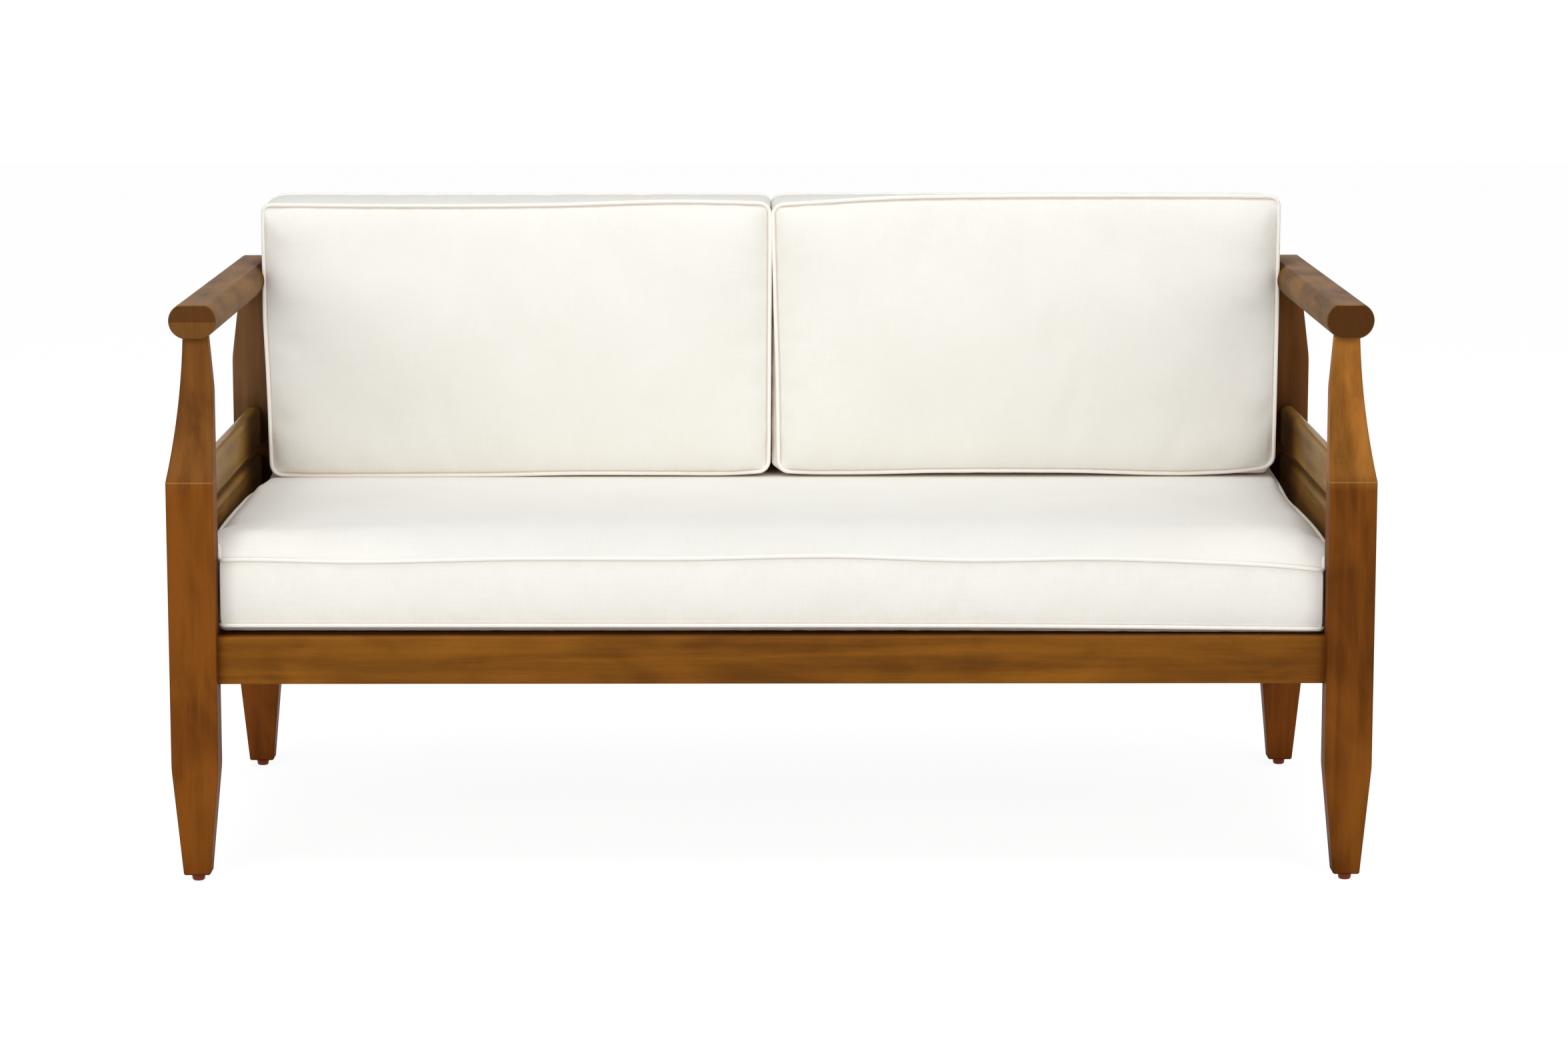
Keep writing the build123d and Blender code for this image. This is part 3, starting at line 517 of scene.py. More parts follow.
class Cushion:
    """A boxed cushion: two panels with a seam round each and a band of boxing between them.

    u and v run over the panels and w through the thickness. face is the panel that shows most, and base
    is the other one. levels are the heights of their seams, crowns how far they swell past these, and
    runs how far from each side the swelling takes: a curve for both ends of u, then both ends of v.
    moves and lifts are curves of the place along a side that take its seam out of line, in the panel's
    plane and through the thickness, and planes holds the flat faces that the boxing is pressed against.
    One attribute says which side of the piping has the full groove and the painted shadow line, the panel or
    the boxing.
    """

    def __init__(self, name, half_u, half_v, corner, levels, crowns, runs):
        self.name = name
        self.half_u, self.half_v, self.corner = half_u, half_v, corner
        self.levels = levels
        self.crowns = crowns
        self.runs = runs
        self.planes = {}
        self.groove_and_shadow_side = "panel"
        self.moves = {"face": {}, "base": {}}
        self.lifts = {"face": {}, "base": {}}
        self.us = spaced(2 * half_u, PANEL_CELL) - half_u
        self.vs = spaced(2 * half_v, PANEL_CELL) - half_v

    def side_shares(self, u, v):
        """How much each side of the panel pulls on a point, and the place along that side."""
        return {
            "left": (np.clip(-u / self.half_u, 0, 1) ** SIDE_POWER, v),
            "right": (np.clip(u / self.half_u, 0, 1) ** SIDE_POWER, v),
            "low": (np.clip(-v / self.half_v, 0, 1) ** SIDE_POWER, u),
            "high": (np.clip(v / self.half_v, 0, 1) ** SIDE_POWER, u),
        }

    def panel(self, side):
        """The points of one panel, as a grid of u, v and w."""
        u, v = np.meshgrid(self.us, self.vs, indexing="ij")
        level = np.full_like(u, self.levels[side])
        shares = self.side_shares(u, v)
        out_u, out_v = rounded(u, v, self.corner)
        for edge, curve in self.moves[side].items():
            share, at = shares[edge]
            step = share * curve(at)
            if edge in ("left", "right"):
                out_u = out_u + (step if edge == "right" else -step)
            else:
                out_v = out_v + (step if edge == "high" else -step)
        for edge, curve in self.lifts[side].items():
            share, at = shares[edge]
            level = level + share * curve(at)
        run_u, run_low, run_high = self.runs[side]
        near_u = rise(self.half_u - np.abs(u), run_u(v))
        near_v = rise(v + self.half_v, run_low) * rise(self.half_v - v, run_high)
        level = level + self.crowns[side] * near_u * near_v
        return np.stack([out_u, out_v, level], -1)

    def border(self):
        """The grid places round a panel's edge, in order."""
        last_u, last_v = len(self.us) - 1, len(self.vs) - 1
        low = [(index, 0) for index in range(last_u)]
        right = [(last_u, index) for index in range(last_v)]
        high = [(index, last_v) for index in range(last_u, 0, -1)]
        left = [(0, index) for index in range(last_v, 0, -1)]
        return low + right + high + left

    def panel_seam_places(self):
        """How far each panel point lies from its nearest seam, and where along that seam."""
        u, v = np.meshgrid(self.us, self.vs, indexing="ij")
        from_u, from_v = self.half_u - np.abs(u), self.half_v - np.abs(v)
        offset_u, offset_v = PANEL_OFFSETS
        on_end = v + np.sign(u) * self.half_u * offset_u
        on_side = u + np.sign(v) * self.half_v * offset_v
        return np.minimum(from_u, from_v).ravel(), np.where(from_u < from_v, on_end, on_side).ravel()

    def build(self, place):
        """Makes the mesh. place turns an array of u, v, w points into points of the frame."""
        border = self.border()
        grids = {side: self.panel(side) for side in ("base", "face")}
        count_u, count_v = len(self.us), len(self.vs)
        from_seam, seam_place = self.panel_seam_places()
        points, nears, alongs, numbers = [], [], [], {}
        for side in ("base", "face"):
            numbers[side] = len(points) + np.arange(count_u * count_v).reshape(count_u, count_v)
            points.extend(grids[side].reshape(-1, 3))
            nears.extend(from_seam)
            alongs.extend(seam_place)
        loops = {side: [int(numbers[side][at]) for at in border] for side in ("base", "face")}
        base_loop = np.array([grids["base"][at] for at in border])
        face_loop = np.array([grids["face"][at] for at in border])
        steps = np.linalg.norm(np.roll(face_loop, -1, 0) - face_loop, axis=1)
        run = np.concatenate([[0], np.cumsum(steps)])
        thickness = abs(self.levels["face"] - self.levels["base"])
        shares = spaced(thickness, BOXING_CELL) / thickness
        rows = [loops["base"]]
        for share in shares[1:-1]:
            rows.append(list(range(len(points), len(points) + len(border))))
            points.extend(self.boxing_ring(share, base_loop, face_loop))
            nears.extend([min(share, 1 - share) * thickness] * len(border))
            alongs.extend(run[:-1] + BOXING_OFFSET)
        rows.append(loops["face"])
        faces, maps = self.panel_faces(numbers)
        for low, high, share_low, share_high in zip(rows, rows[1:], shares, shares[1:]):
            bottom, top = share_low * thickness, share_high * thickness
            for index in range(len(border)):
                after = (index + 1) % len(border)
                faces.append([low[index], low[after], high[after], high[index]])
                start, end = run[index], run[index + 1]
                maps.append([(start, bottom), (end, bottom), (end, top), (start, top)])
        self.loops, self.panel_points = loops, numbers
        self.near, self.along = np.array(nears), np.array(alongs)
        self.on_panel = np.arange(len(points)) <= numbers["face"].max()
        return mesh_object(self.name, place(np.array(points)), faces, maps)

    def boxing_ring(self, share, base_loop, face_loop):
        """The points of the boxing at a share of the way from the base's seam to the face's."""
        ring = base_loop * (1 - share) + face_loop * share
        bow = math.sin(math.pi * share)
        outward = self.outward(face_loop)
        ring[:, :2] += outward * (BOXING_BULGE * bow)
        for way, plane in self.planes.items():
            axis = 0 if way in ("left", "right") else 1
            facing = outward[:, axis] if way in ("right", "high") else -outward[:, axis]
            pressed = np.clip(facing, 0, 1) ** PRESS_POWER * min(1, PRESS_RISE * bow)
            ring[:, axis] = ring[:, axis] * (1 - pressed) + plane * pressed
        return ring

    def panel_faces(self, numbers):
        """The faces of both panels, each with its flat place in metres."""
        faces, maps = [], []
        for side in ("base", "face"):
            grid = numbers[side]
            for i in range(len(self.us) - 1):
                for j in range(len(self.vs) - 1):
                    corners = [(i, j), (i + 1, j), (i + 1, j + 1), (i, j + 1)]
                    if side == "base":
                        corners.reverse()
                    faces.append([int(grid[corner]) for corner in corners])
                    maps.append([(self.us[a], self.vs[b]) for a, b in corners])
        return faces, maps

    def outward(self, loop):
        """The way out of the cushion, level with its panels, at each point of a seam."""
        ahead, behind = np.roll(loop, -1, 0), np.roll(loop, 1, 0)
        run = (ahead - behind)[:, :2]
        run /= np.linalg.norm(run, axis=1)[:, None]
        return np.stack([run[:, 1], -run[:, 0]], -1)

    def held_points(self, margin):
        """The points that stay while the cushion is filled: the base inside a margin, and both seams."""
        base = self.panel_points["base"][margin:-margin, margin:-margin]
        return list(base.ravel()) + self.loops["face"] + self.loops["base"]

    def work_seams(self, made, allowed):
        """Sinks the cloth beside its seams, gathers it a little there, and notes how near the seam is."""
        coords = points_of(made)
        normals = np.array([vertex.normal[:] for vertex in made.data.vertices])
        # The side of the seams that gets the full groove and the painted shadow line
        shows = self.on_panel == (self.groove_and_shadow_side == "panel")
        groove = GROOVE_DEPTH * np.exp(-(((self.near - GROOVE_AT) / GROOVE_WIDTH) ** 2))
        groove *= np.where(shows, 1, PLAIN_GROOVE)
        waves = sum(
            np.sin(2 * math.pi * self.along / length + GATHER_PHASE * index)
            for index, length in enumerate(GATHER_WAVES)
        ) / len(GATHER_WAVES)
        patches = np.ones_like(self.along)
        for rate, start in GATHER_PATCHES:
            patches *= np.sin(self.along * rate + start)
        deep = GATHER_LEAST + (1 - GATHER_LEAST) * smooth_step(0.5 + patches)
        reach = np.clip(self.near / GATHER_START, 0, 1) * np.exp(-self.near / GATHER_REACH)
        gathers = GATHER_DEPTH * waves * reach * deep
        gathers *= np.where(self.on_panel, 1.0, BOXING_GATHERS)
        shift = np.where(self.near > 0, gathers - groove, 0.0)
        set_points(made, allowed(coords + normals * shift[:, None]))
        # The seam distance for the painted shadow line; off the shaded side it is pushed past the line's
        # reach
        mark = made.data.attributes.new("seam", "FLOAT", "POINT")
        mark.data.foreach_set("value", np.where(shows | (self.near == 0), self.near, self.near + SEAM_SHADOW_TO))


def new_object(name, data):
    """An object in the scene."""
    made = bpy.data.objects.new(name, data)
    bpy.context.scene.collection.objects.link(made)
    return made


def mesh_object(name, coords, faces, maps):
    """A smooth Blender object, with its UV map in metres."""
    mesh = bpy.data.meshes.new(name)
    mesh.from_pydata([tuple(point) for point in coords], [], faces)
    layer = mesh.uv_layers.new(name="cloth")
    layer.data.foreach_set("uv", np.array([pair for face in maps for pair in face], float).ravel())
    made = new_object(name, mesh)
    for polygon in mesh.polygons:
        polygon.use_smooth = True
    return made


def points_of(made):
    """The points of an object's mesh as an array."""
    coords = np.empty(len(made.data.vertices) * 3)
    made.data.vertices.foreach_get("co", coords)
    return coords.reshape(-1, 3)


def set_points(made, coords):
    """Moves an object's mesh onto an array of points."""
    made.data.vertices.foreach_set("co", coords.ravel())
    made.data.update()


# Cloth simulation of the cushions. A negative shrink lets the cloth give by that share.
CLOTH_SETTINGS = {
    "quality": 6,
    "mass": 0.25,
    "tension_stiffness": 22,
    "compression_stiffness": 22,
    "shear_stiffness": 9,
    "bending_stiffness": 0.6,
    "shrink_min": -0.012,
    "use_pressure": True,
    "uniform_pressure_force": 4.0,
}
CLOTH_FRAMES = 20

# The share of the simulated step that a point takes, and the most that it may move
CLOTH_SHARE = 0.5
CLOTH_CAP = 0.022
SHORTEST_STEP = 1e-9


def inflate(made, held, allowed):
    """Fills a cushion by cloth simulation. held lists the points that stay.

    allowed pushes an array of points back out of what the cushion rests on or is squeezed by.
    """
    before = points_of(made)
    group = made.vertex_groups.new(name="held")
    group.add([int(number) for number in held], 1.0, "REPLACE")
    cloth = made.modifiers.new("cloth", "CLOTH")
    for name, value in CLOTH_SETTINGS.items():
        setattr(cloth.settings, name, value)
    cloth.settings.effector_weights.gravity = 0
    cloth.settings.vertex_group_mass = "held"
    scene = bpy.context.scene
    cloth.point_cache.frame_start = 1
    cloth.point_cache.frame_end = CLOTH_FRAMES
    for frame_number in range(1, CLOTH_FRAMES + 1):
        scene.frame_set(frame_number)
    bpy.context.view_layer.objects.active = made
    bpy.ops.object.modifier_apply(modifier=cloth.name)
    after = points_of(made)
    step = (after - before) * CLOTH_SHARE
    length = np.linalg.norm(step, axis=1)[:, None]
    step *= np.minimum(1, CLOTH_CAP / np.maximum(length, SHORTEST_STEP))
    set_points(made, allowed(before + step))
    made.vertex_groups.clear()
    scene.frame_set(1)


def subdivided(made, loops):
    """Refines a cushion once, keeping its seams sharp."""
    mesh = made.data
    sharp = {frozenset(pair) for loop in loops for pair in zip(loop, loop[1:] + loop[:1])}
    crease = mesh.attributes.new("crease_edge", "FLOAT", "EDGE")
    values = [1.0 if frozenset(edge.vertices) in sharp else 0.0 for edge in mesh.edges]
    crease.data.foreach_set("value", values)
    refine = made.modifiers.new("refine", "SUBSURF")
    refine.levels = refine.render_levels = 1
    refine.uv_smooth = "NONE"
    bpy.context.view_layer.objects.active = made
    bpy.ops.object.modifier_apply(modifier=refine.name)


def piping(name, path, ways_out, material, cushion):
    """A round piping along a closed seam. ways_out says, at each point, where the seam faces."""
    count = len(path)
    path = path + ways_out * PIPING_PROUD
    run = np.roll(path, -1, 0) - np.roll(path, 1, 0)
    run /= np.linalg.norm(run, axis=1)[:, None]
    normal = ways_out - run * (ways_out * run).sum(1)[:, None]
    normal /= np.linalg.norm(normal, axis=1)[:, None]
    side = np.cross(run, normal)
    angles = np.linspace(0, 2 * math.pi, PIPING_SIDES, endpoint=False)
    points = np.concatenate([
        path + PIPING_RADIUS * (math.cos(angle) * normal + math.sin(angle) * side) for angle in angles
    ])
    steps = np.linalg.norm(np.roll(path, -1, 0) - path, axis=1)
    along = np.concatenate([[0], np.cumsum(steps)])
    around = 2 * math.pi * PIPING_RADIUS / PIPING_SIDES
    faces, maps = [], []
    for turn in range(PIPING_SIDES):
        this_side, next_side = turn * count, (turn + 1) % PIPING_SIDES * count
        low, high = turn * around, (turn + 1) * around
        for index in range(count):
            after = (index + 1) % count
            faces.append([this_side + index, this_side + after, next_side + after, next_side + index])
            start, end = along[index], along[index + 1]
            maps.append([(start, low), (end, low), (end, high), (start, high)])
    made = mesh_object(name, points, faces, maps)
    made.data.materials.append(material)
    made.parent = cushion
    return made


def seam_path(made, loop):
    """Even points along a seam and the ways that it faces there, read from the filled cushion."""
    coords = points_of(made)[loop]
    normals = np.array([made.data.vertices[number].normal[:] for number in loop])
    steps = np.linalg.norm(np.roll(coords, -1, 0) - coords, axis=1)
    along = np.concatenate([[0], np.cumsum(steps)])
    count = round(along[-1] / PIPING_SPACING)
    wanted = np.arange(count) * along[-1] / count
    curves = []
    for values in (coords, normals):
        closed = np.concatenate([values, values[:1]])
        curve = np.stack([np.interp(wanted, along, closed[:, axis]) for axis in range(3)], -1)
        for _ in range(PIPING_SMOOTHINGS):
            curve = (np.roll(curve, 1, 0) + 2 * curve + np.roll(curve, -1, 0)) / 4
        curves.append(curve)
    path, ways = curves
    return path, ways / np.linalg.norm(ways, axis=1)[:, None]


def finish_cushion(cushion, made, body, materials, allowed):
    """Dresses a cushion: piping on both seams, a finer mesh, its material, and its place in the frame."""
    cloth, cord_cloth = materials
    cushion.work_seams(made, allowed)
    for side in ("face", "base"):
        path, ways = seam_path(made, cushion.loops[side])
        piping(f"{cushion.name}_piping_{side}", path, ways, cord_cloth, made)
    subdivided(made, list(cushion.loops.values()))
    made.data.materials.append(cloth)
    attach(made, body)
    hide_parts(body)


# Seat cushion. Its u, v and w are the frame's X, Y and Z.
SEAT_HALF_WIDTH = 0.657
SEAT_INSET = 0.002
SEAT_CORNER = 0.007
SEAT_FRONT = -0.3115
SEAT_REAR = 0.2965
SEAT_BASE = 0.2896
SEAT_TOP_SEAM = 0.3775
SEAT_BOTTOM_SEAM = 0.2990
SEAT_CROWN = 0.033
SEAT_CROWN_TOP = 0.4127
SEAT_SOFTNESS = 0.006
SEAT_HELD_MARGIN = 1

# The width that the front legs leave it, and where it widens behind them
SEAT_BETWEEN_LEGS = 0.6425
LEG_BACK = -0.3035
SEAT_WIDENS_OVER = 0.014

# How far its crowns run in from the sides, and how its seams leave their straight lines
SEAT_RUNS = {
    "face": (through((-0.31, 0.0, 0.12, 0.31), (0.10, 0.08, 0.045, 0.045)), 0.20, 0.10),
    "base": (flat(0.03), 0.03, 0.03),
}
SEAT_LIFTS = {
    "face": {
        "low": through(
            (-0.657, -0.62, -0.49, -0.30, -0.10, 0.07, 0.23, 0.38, 0.50, 0.60, 0.657),
            (0.0, 0.0005, -0.002, 0.0012, 0.0012, 0.004, -0.0008, 0.0008, -0.003, -0.0085, -0.0145),
        ),
        "left": through(
            (-0.304, -0.3008, -0.2976, -0.22, -0.05, 0.12, 0.16, 0.30),
            (0.0, 0.006, 0.010, 0.014, 0.016, 0.0165, 0.0165, 0.0165),
        ),
        "right": through(
            (-0.304, -0.3008, -0.2976, -0.22, 0.0, 0.10, 0.15, 0.30),
            (0.0, 0.006, 0.009, 0.009, 0.009, 0.011, 0.018, 0.018),
        ),
        "high": flat(0.014),
    },
    "base": {
        "low": through((-0.657, -0.2, 0.3, 0.50, 0.657), (0.0015, 0.001, 0.0, -0.002, -0.004)),
    },
}
SEAT_FACE_MOVES = {
    "left": through((-0.31, 0.0, 0.10, 0.15, 0.31), (0.0, 0.0, -0.004, -0.012, -0.015)),
    "right": through((-0.31, -0.20, 0.0, 0.20, 0.31), (0.0, 0.0, -0.004, -0.013, -0.014)),
    "high": flat(-0.003),
}


def squeeze_seat(points):
    """Keeps the seat cushion between the front legs, above the slats and under the back cushions."""
    points = points.copy()
    widened = smooth_step((points[:, 1] - LEG_BACK) / SEAT_WIDENS_OVER)
    limit = SEAT_BETWEEN_LEGS + (SEAT_HALF_WIDTH - SEAT_BETWEEN_LEGS) * widened
    points[:, 0] = np.clip(points[:, 0], -limit, limit)
    points[:, 2] = np.maximum(soft_limit(points[:, 2], SEAT_CROWN_TOP, SEAT_SOFTNESS), SEAT_BASE)
    return points


def make_seat(materials):
    """The full-width seat cushion."""
    middle_y = (SEAT_FRONT + SEAT_REAR) / 2
    half_depth = (SEAT_REAR - SEAT_FRONT) / 2
    cushion = Cushion(
        "seat_cushion_cover", SEAT_HALF_WIDTH - SEAT_INSET, half_depth, SEAT_CORNER,
        {"face": SEAT_TOP_SEAM, "base": SEAT_BOTTOM_SEAM},
        {"face": SEAT_CROWN, "base": SEAT_BASE - SEAT_BOTTOM_SEAM}, SEAT_RUNS,
    )
    # On the seat the full groove and the painted shadow line are on the boxing, under the front piping
    cushion.groove_and_shadow_side = "boxing"
    cushion.lifts = SEAT_LIFTS
    cushion.moves["face"] = SEAT_FACE_MOVES
    made = cushion.build(lambda points: squeeze_seat(points + np.array([0, middle_y, 0])))
    inflate(made, cushion.held_points(SEAT_HELD_MARGIN), squeeze_seat)
    finish_cushion(cushion, made, "seat_cushion", materials, squeeze_seat)


# Back cushions. Their u is the frame's X, v its Z, and w points to the front.
BACK_REAR_Y = 0.3040
BACK_BASE_SEAM = 0.012
BACK_FACE_SEAM = 0.160
BACK_CROWN = 0.016
BACK_CORNER = 0.011
BACK_BOTTOM = 0.4120
BACK_TOP = 0.7560
BACK_INNER_X = 0.0018
BACK_OUTER_X = 0.6400
BACK_SOFTNESS = 0.004
BACK_HELD_MARGIN = 2

# The space that they are kept in. Their top may rise a little towards the front.
BACK_REACH = 0.6372
BACK_MIDDLE_GAP = 0.0005
BACK_LIMIT_BOTTOM = 0.4129
BACK_LIMIT_TOP = 0.7620
BACK_TOP_RISE = 0.0075
BACK_TOP_RISE_FROM = 0.215
BACK_TOP_RISE_OVER = 0.06

# How far their crowns run in from the sides, and how their seams leave their straight lines
BACK_RUNS = {
    "face": (flat(0.06), 0.06, 0.06),
    "base": (flat(0.05), 0.05, 0.05),
}
BACK_LEFT_MOVES = {
    "left": through((-0.17, -0.06, 0.05, 0.17), (-0.008, -0.006, -0.002, 0.001)),
    "right": through((-0.17, 0.0, 0.17), (-0.002, -0.001, 0.0)),
    "high": through((-0.32, -0.20, 0.05, 0.20, 0.32), (-0.001, -0.002, -0.001, 0.003, 0.001)),
    "low": through(
        (-0.32, -0.236, -0.151, -0.015, 0.06, 0.19, 0.27, 0.32),
        (-0.002, -0.0005, -0.001, -0.002, -0.0035, -0.0035, -0.0035, -0.006),
    ),
}
BACK_RIGHT_MOVES = {
    "left": through((-0.17, -0.06, 0.05, 0.17), (-0.008, -0.007, -0.004, -0.001)),
    "right": through((-0.17, 0.0, 0.17), (-0.004, -0.003, -0.001)),
    "high": through((-0.32, -0.28, -0.18, 0.0, 0.20, 0.32), (-0.001, 0.001, 0.007, 0.010, 0.010, 0.009)),
    "low": through(
        (-0.32, -0.284, -0.199, -0.114, 0.056, 0.225, 0.276, 0.32),
        (-0.006, -0.0047, -0.0045, -0.0062, -0.0062, -0.0036, -0.0065, -0.012),
    ),
}


def squeeze_back(points):
    """Keeps a back cushion between the arms, off the seat, the back panel and the other cushion."""
    points = points.copy()
    side = np.sign(points[:, 0].mean())
    outer = np.minimum(points[:, 0] * side, BACK_REACH)
    points[:, 0] = side * np.maximum(outer, BACK_MIDDLE_GAP)
    points[:, 1] = np.minimum(points[:, 1], BACK_REAR_Y)
    risen = smooth_step((BACK_TOP_RISE_FROM - points[:, 1]) / BACK_TOP_RISE_OVER)
    top = BACK_LIMIT_TOP + BACK_TOP_RISE * risen
    points[:, 2] = np.maximum(soft_limit(points[:, 2], top, BACK_SOFTNESS), BACK_LIMIT_BOTTOM)
    return points


def make_back(side, face_moves, materials):
    """One back cushion. side is -1 for the left one and 1 for the right one."""
    word = "left" if side < 0 else "right"
    half_u = (BACK_OUTER_X - BACK_INNER_X) / 2
    half_v = (BACK_TOP - BACK_BOTTOM) / 2
    middle_x = side * (BACK_OUTER_X + BACK_INNER_X) / 2
    middle_z = (BACK_TOP + BACK_BOTTOM) / 2
    cushion = Cushion(
        f"back_cushion_{word}_cover", half_u, half_v, BACK_CORNER,
        {"face": BACK_FACE_SEAM, "base": BACK_BASE_SEAM},
        {"face": BACK_CROWN, "base": -BACK_BASE_SEAM}, BACK_RUNS,
    )
    cushion.moves["face"] = face_moves
    inner = "right" if side < 0 else "left"
    cushion.planes = {"low": BACK_LIMIT_BOTTOM - middle_z, inner: side * BACK_MIDDLE_GAP - middle_x}

    def place(points):
        u, v, w = points.T
        return squeeze_back(np.stack([u + middle_x, BACK_REAR_Y - w, v + middle_z], -1))

    made = cushion.build(place)
    inflate(made, cushion.held_points(BACK_HELD_MARGIN), squeeze_back)
    finish_cushion(cushion, made, f"back_cushion_{word}", materials, squeeze_back)


# Colours of the wood, matched to the photograph, or guessed from the legs where it shows none
# The front legs' colours above the ridge are lighter than the one under it: painted light on the upper face,
# which tilts up towards the light
FRONT_LEG_LEFT = linear(112, 68, 24)
FRONT_LEG_RIGHT = linear(146, 94, 35)
FRONT_LEG_UNDER_RIDGE = linear(112, 62, 12)
REAR_LEG_LEFT = linear(120, 86, 52)
REAR_LEG_RIGHT = linear(106, 65, 27)
REAR_FOOT = linear(119, 63, 15)
RAIL = linear(122, 74, 15)
ARM = linear(112, 76, 30)
ARM_LEFT_ENDS = (linear(89, 53, 16), linear(113, 73, 28))
ARM_RIGHT_ENDS = (linear(78, 44, 9), linear(78, 44, 9))
# The boards' colour, paler and more olive than the legs: partly their own colour, partly painted sheen, kept
# on their faces towards the seat
BOARD_AND_SHEEN = linear(140, 103, 40)
BOARD_OUTER = linear(120, 72, 25)
INNER_WOOD = linear(104, 62, 18)
BEECH = linear(178, 140, 96)
# The colour of the painted highlight along the front legs' ridge
PAINTED_RIDGE_HIGHLIGHT = linear(178, 126, 72)

# What the legs and the boards have in common. change is the heights where the colour low down gives way. On
# the front legs that is the ridge, and the lighter colour above it is painted light on the face that tilts
# up.
FRONT_LEG = {"figure": 0.8, "gloss": 0.06, "ridge": 0.472, "low_color": FRONT_LEG_UNDER_RIDGE, "change": (0.462, 0.482)}
REAR_LEG = {"low_color": REAR_FOOT, "change": (0.30, 0.45)}
BOARD_FINISH = {"gloss": 0.10, "roughness": (0.28, 0.40)}

# The woods: axis of the grain, shift of the figure, colour, and what else wood() is given
WOODS = {
    "front_leg_left": ("z", (0.13, 0.05, 0.4), FRONT_LEG_LEFT, FRONT_LEG),
    "front_leg_right": ("z", (-0.17, 0.09, 1.3), FRONT_LEG_RIGHT, FRONT_LEG),
    "rear_leg_left": ("z", (0.11, -0.07, 2.2), REAR_LEG_LEFT, REAR_LEG),
    "rear_leg_right": ("z", (-0.15, -0.03, 3.1), REAR_LEG_RIGHT, REAR_LEG),
    "arm_left": ("y", (0.07, 0.11, 0.9), ARM, {"figure": 1.0, "ends": ARM_LEFT_ENDS}),
    "arm_right": ("y", (-0.09, 0.13, 1.7), ARM, {"figure": 1.2, "ends": ARM_RIGHT_ENDS}),
    "front_rail": ("x", (0.05, 0.12, 0.3), RAIL, {}),
    "board_left": ("y", (0.10, 0.06, 2.6), BOARD_AND_SHEEN, {**BOARD_FINISH, "outer": (-1, BOARD_OUTER)}),
    "board_right": ("y", (-0.12, 0.04, 3.3), BOARD_AND_SHEEN, {**BOARD_FINISH, "outer": (1, BOARD_OUTER)}),
    "cross_piece": ("x", (0.03, 0.21, 1.1), INNER_WOOD, {}),
    "seat_bearer": ("y", (0.16, 0.02, 4.4), INNER_WOOD, {}),
    "back_slat": ("z", (0.08, 0.17, 5.2), INNER_WOOD, {}),
    "dowel": ("z", (0.0, 0.0, 0.0), BEECH, {}),
}


def look_of(name):
    """The name of the look that a CAD node gets."""
    if name in WOODS:
        return name
    if name.startswith("side_"):
        return "board_left" if name.endswith("left") else "board_right"
    if name.startswith("back_slat"):
        return "back_slat"
    if name.startswith("seat_slat") or name.endswith("_rail"):
        return "cross_piece"
    if name == "arm_dowels":
        return "dowel"
    if name.startswith("glide") and not name.startswith("glide_stud"):
        return "nylon"
    return "zinc"


def dress_frame():
    """Gives every CAD node that stays in view its own procedural material."""
    looks = {name: wood(f"{name}_wood", *values, **rest) for name, (*values, rest) in WOODS.items()}
    looks["zinc"] = steel("zinc")
    looks["nylon"] = plastic("glide_nylon", NYLON)
    for name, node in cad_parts.items():
        if "cushion" in name:
            continue
        node.data.materials.clear()
        node.data.materials.append(looks[look_of(name)])


def shown(tree):
    """1 for rays that show a surface to the camera, in a gloss or through glass, and 0 for any other."""
    rays = add_node(tree, "LightPath").outputs
    direct = arithmetic(tree, "MAXIMUM", rays["Is Camera Ray"], rays["Is Glossy Ray"])
    return arithmetic(tree, "MAXIMUM", direct, rays["Is Transmission Ray"])


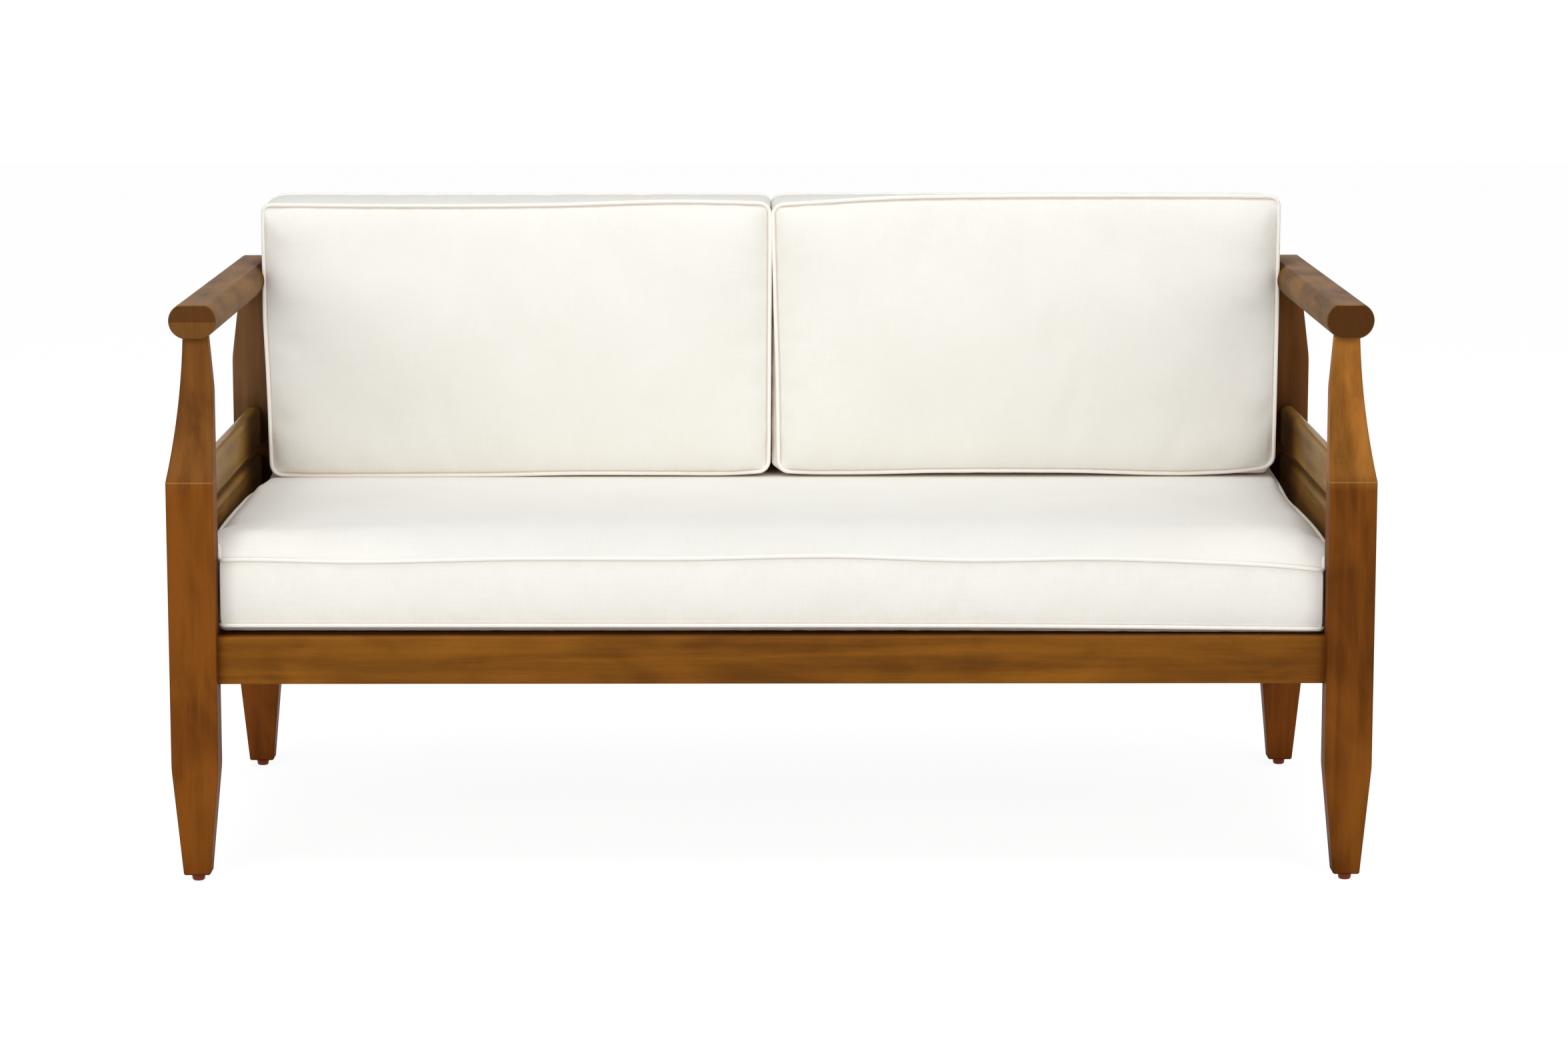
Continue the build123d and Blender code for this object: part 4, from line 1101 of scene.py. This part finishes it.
def make_floor():
    """A pale floor and backdrop that looks white to the camera and still takes the object's shadow."""
    mesh = bpy.data.meshes.new("floor")
    half = FLOOR_SIZE / 2
    corners = [(-half, -half, 0), (half, -half, 0), (half, half, 0), (-half, half, 0)]
    mesh.from_pydata(corners, [], [(0, 1, 2, 3)])
    floor = new_object("floor", mesh)
    material = bpy.data.materials.new("pale_floor")
    tree = empty_tree(material)
    share = arithmetic(tree, "MULTIPLY", shown(tree), FLOOR_GLOW_SHARE)
    matte = add_node(tree, "BsdfDiffuse", {"Color": FLOOR_COLOR})
    glow = add_node(tree, "Emission", {"Color": WHITE, "Strength": FLOOR_GLOW})
    mixed = add_node(tree, "MixShader", {0: share, 1: matte.outputs[0], 2: glow.outputs[0]})
    add_node(tree, "OutputMaterial", {"Surface": mixed.outputs[0]})
    mesh.materials.append(material)


def make_world():
    """An even white surround."""
    world = bpy.data.worlds.new("studio")
    bpy.context.scene.world = world
    tree = empty_tree(world)
    light = add_node(tree, "Background", {"Color": WHITE, "Strength": WORLD_STRENGTH})
    backdrop = add_node(tree, "Background", {"Color": WHITE, "Strength": BACKGROUND_STRENGTH})
    mixed = add_node(tree, "MixShader", {0: shown(tree), 1: light.outputs[0], 2: backdrop.outputs[0]})
    add_node(tree, "OutputWorld", {"Surface": mixed.outputs[0]})


def make_lamps():
    """Large soft lamps."""
    for name, (place, size, power, color) in LAMPS.items():
        data = bpy.data.lights.new(name, "AREA")
        data.shape = "RECTANGLE"
        data.size, data.size_y = size
        data.energy = power
        data.color = color
        lamp = new_object(name, data)
        lamp.location = place
        lamp.rotation_euler = (Vector(LAMP_TARGET) - Vector(place)).to_track_quat("-Z", "Y").to_euler()


def make_camera():
    """The camera at the photograph's place, aimed a little down."""
    data = bpy.data.cameras.new("camera")
    data.sensor_width = SENSOR_WIDTH
    data.lens = CAMERA_FOCAL_PIXELS / PHOTO_WIDTH_PIXELS * SENSOR_WIDTH
    camera = new_object("camera", data)
    camera.location = CAMERA_PLACE
    camera.rotation_euler = Euler((math.radians(90) - CAMERA_PITCH, 0, -CAMERA_YAW))
    bpy.context.scene.camera = camera


dress_frame()
cover_cloth = fabric("cover_cloth", CREAM, CREAM_SHADE)
piping_cloth = fabric("piping_cloth", PIPING_CREAM, CREAM, bias=True)
make_seat((cover_cloth, piping_cloth))
make_back(-1, BACK_LEFT_MOVES, (cover_cloth, piping_cloth))
make_back(1, BACK_RIGHT_MOVES, (cover_cloth, piping_cloth))
make_floor()
make_world()
make_lamps()
make_camera()
bpy.context.scene.view_settings.view_transform = "Standard"
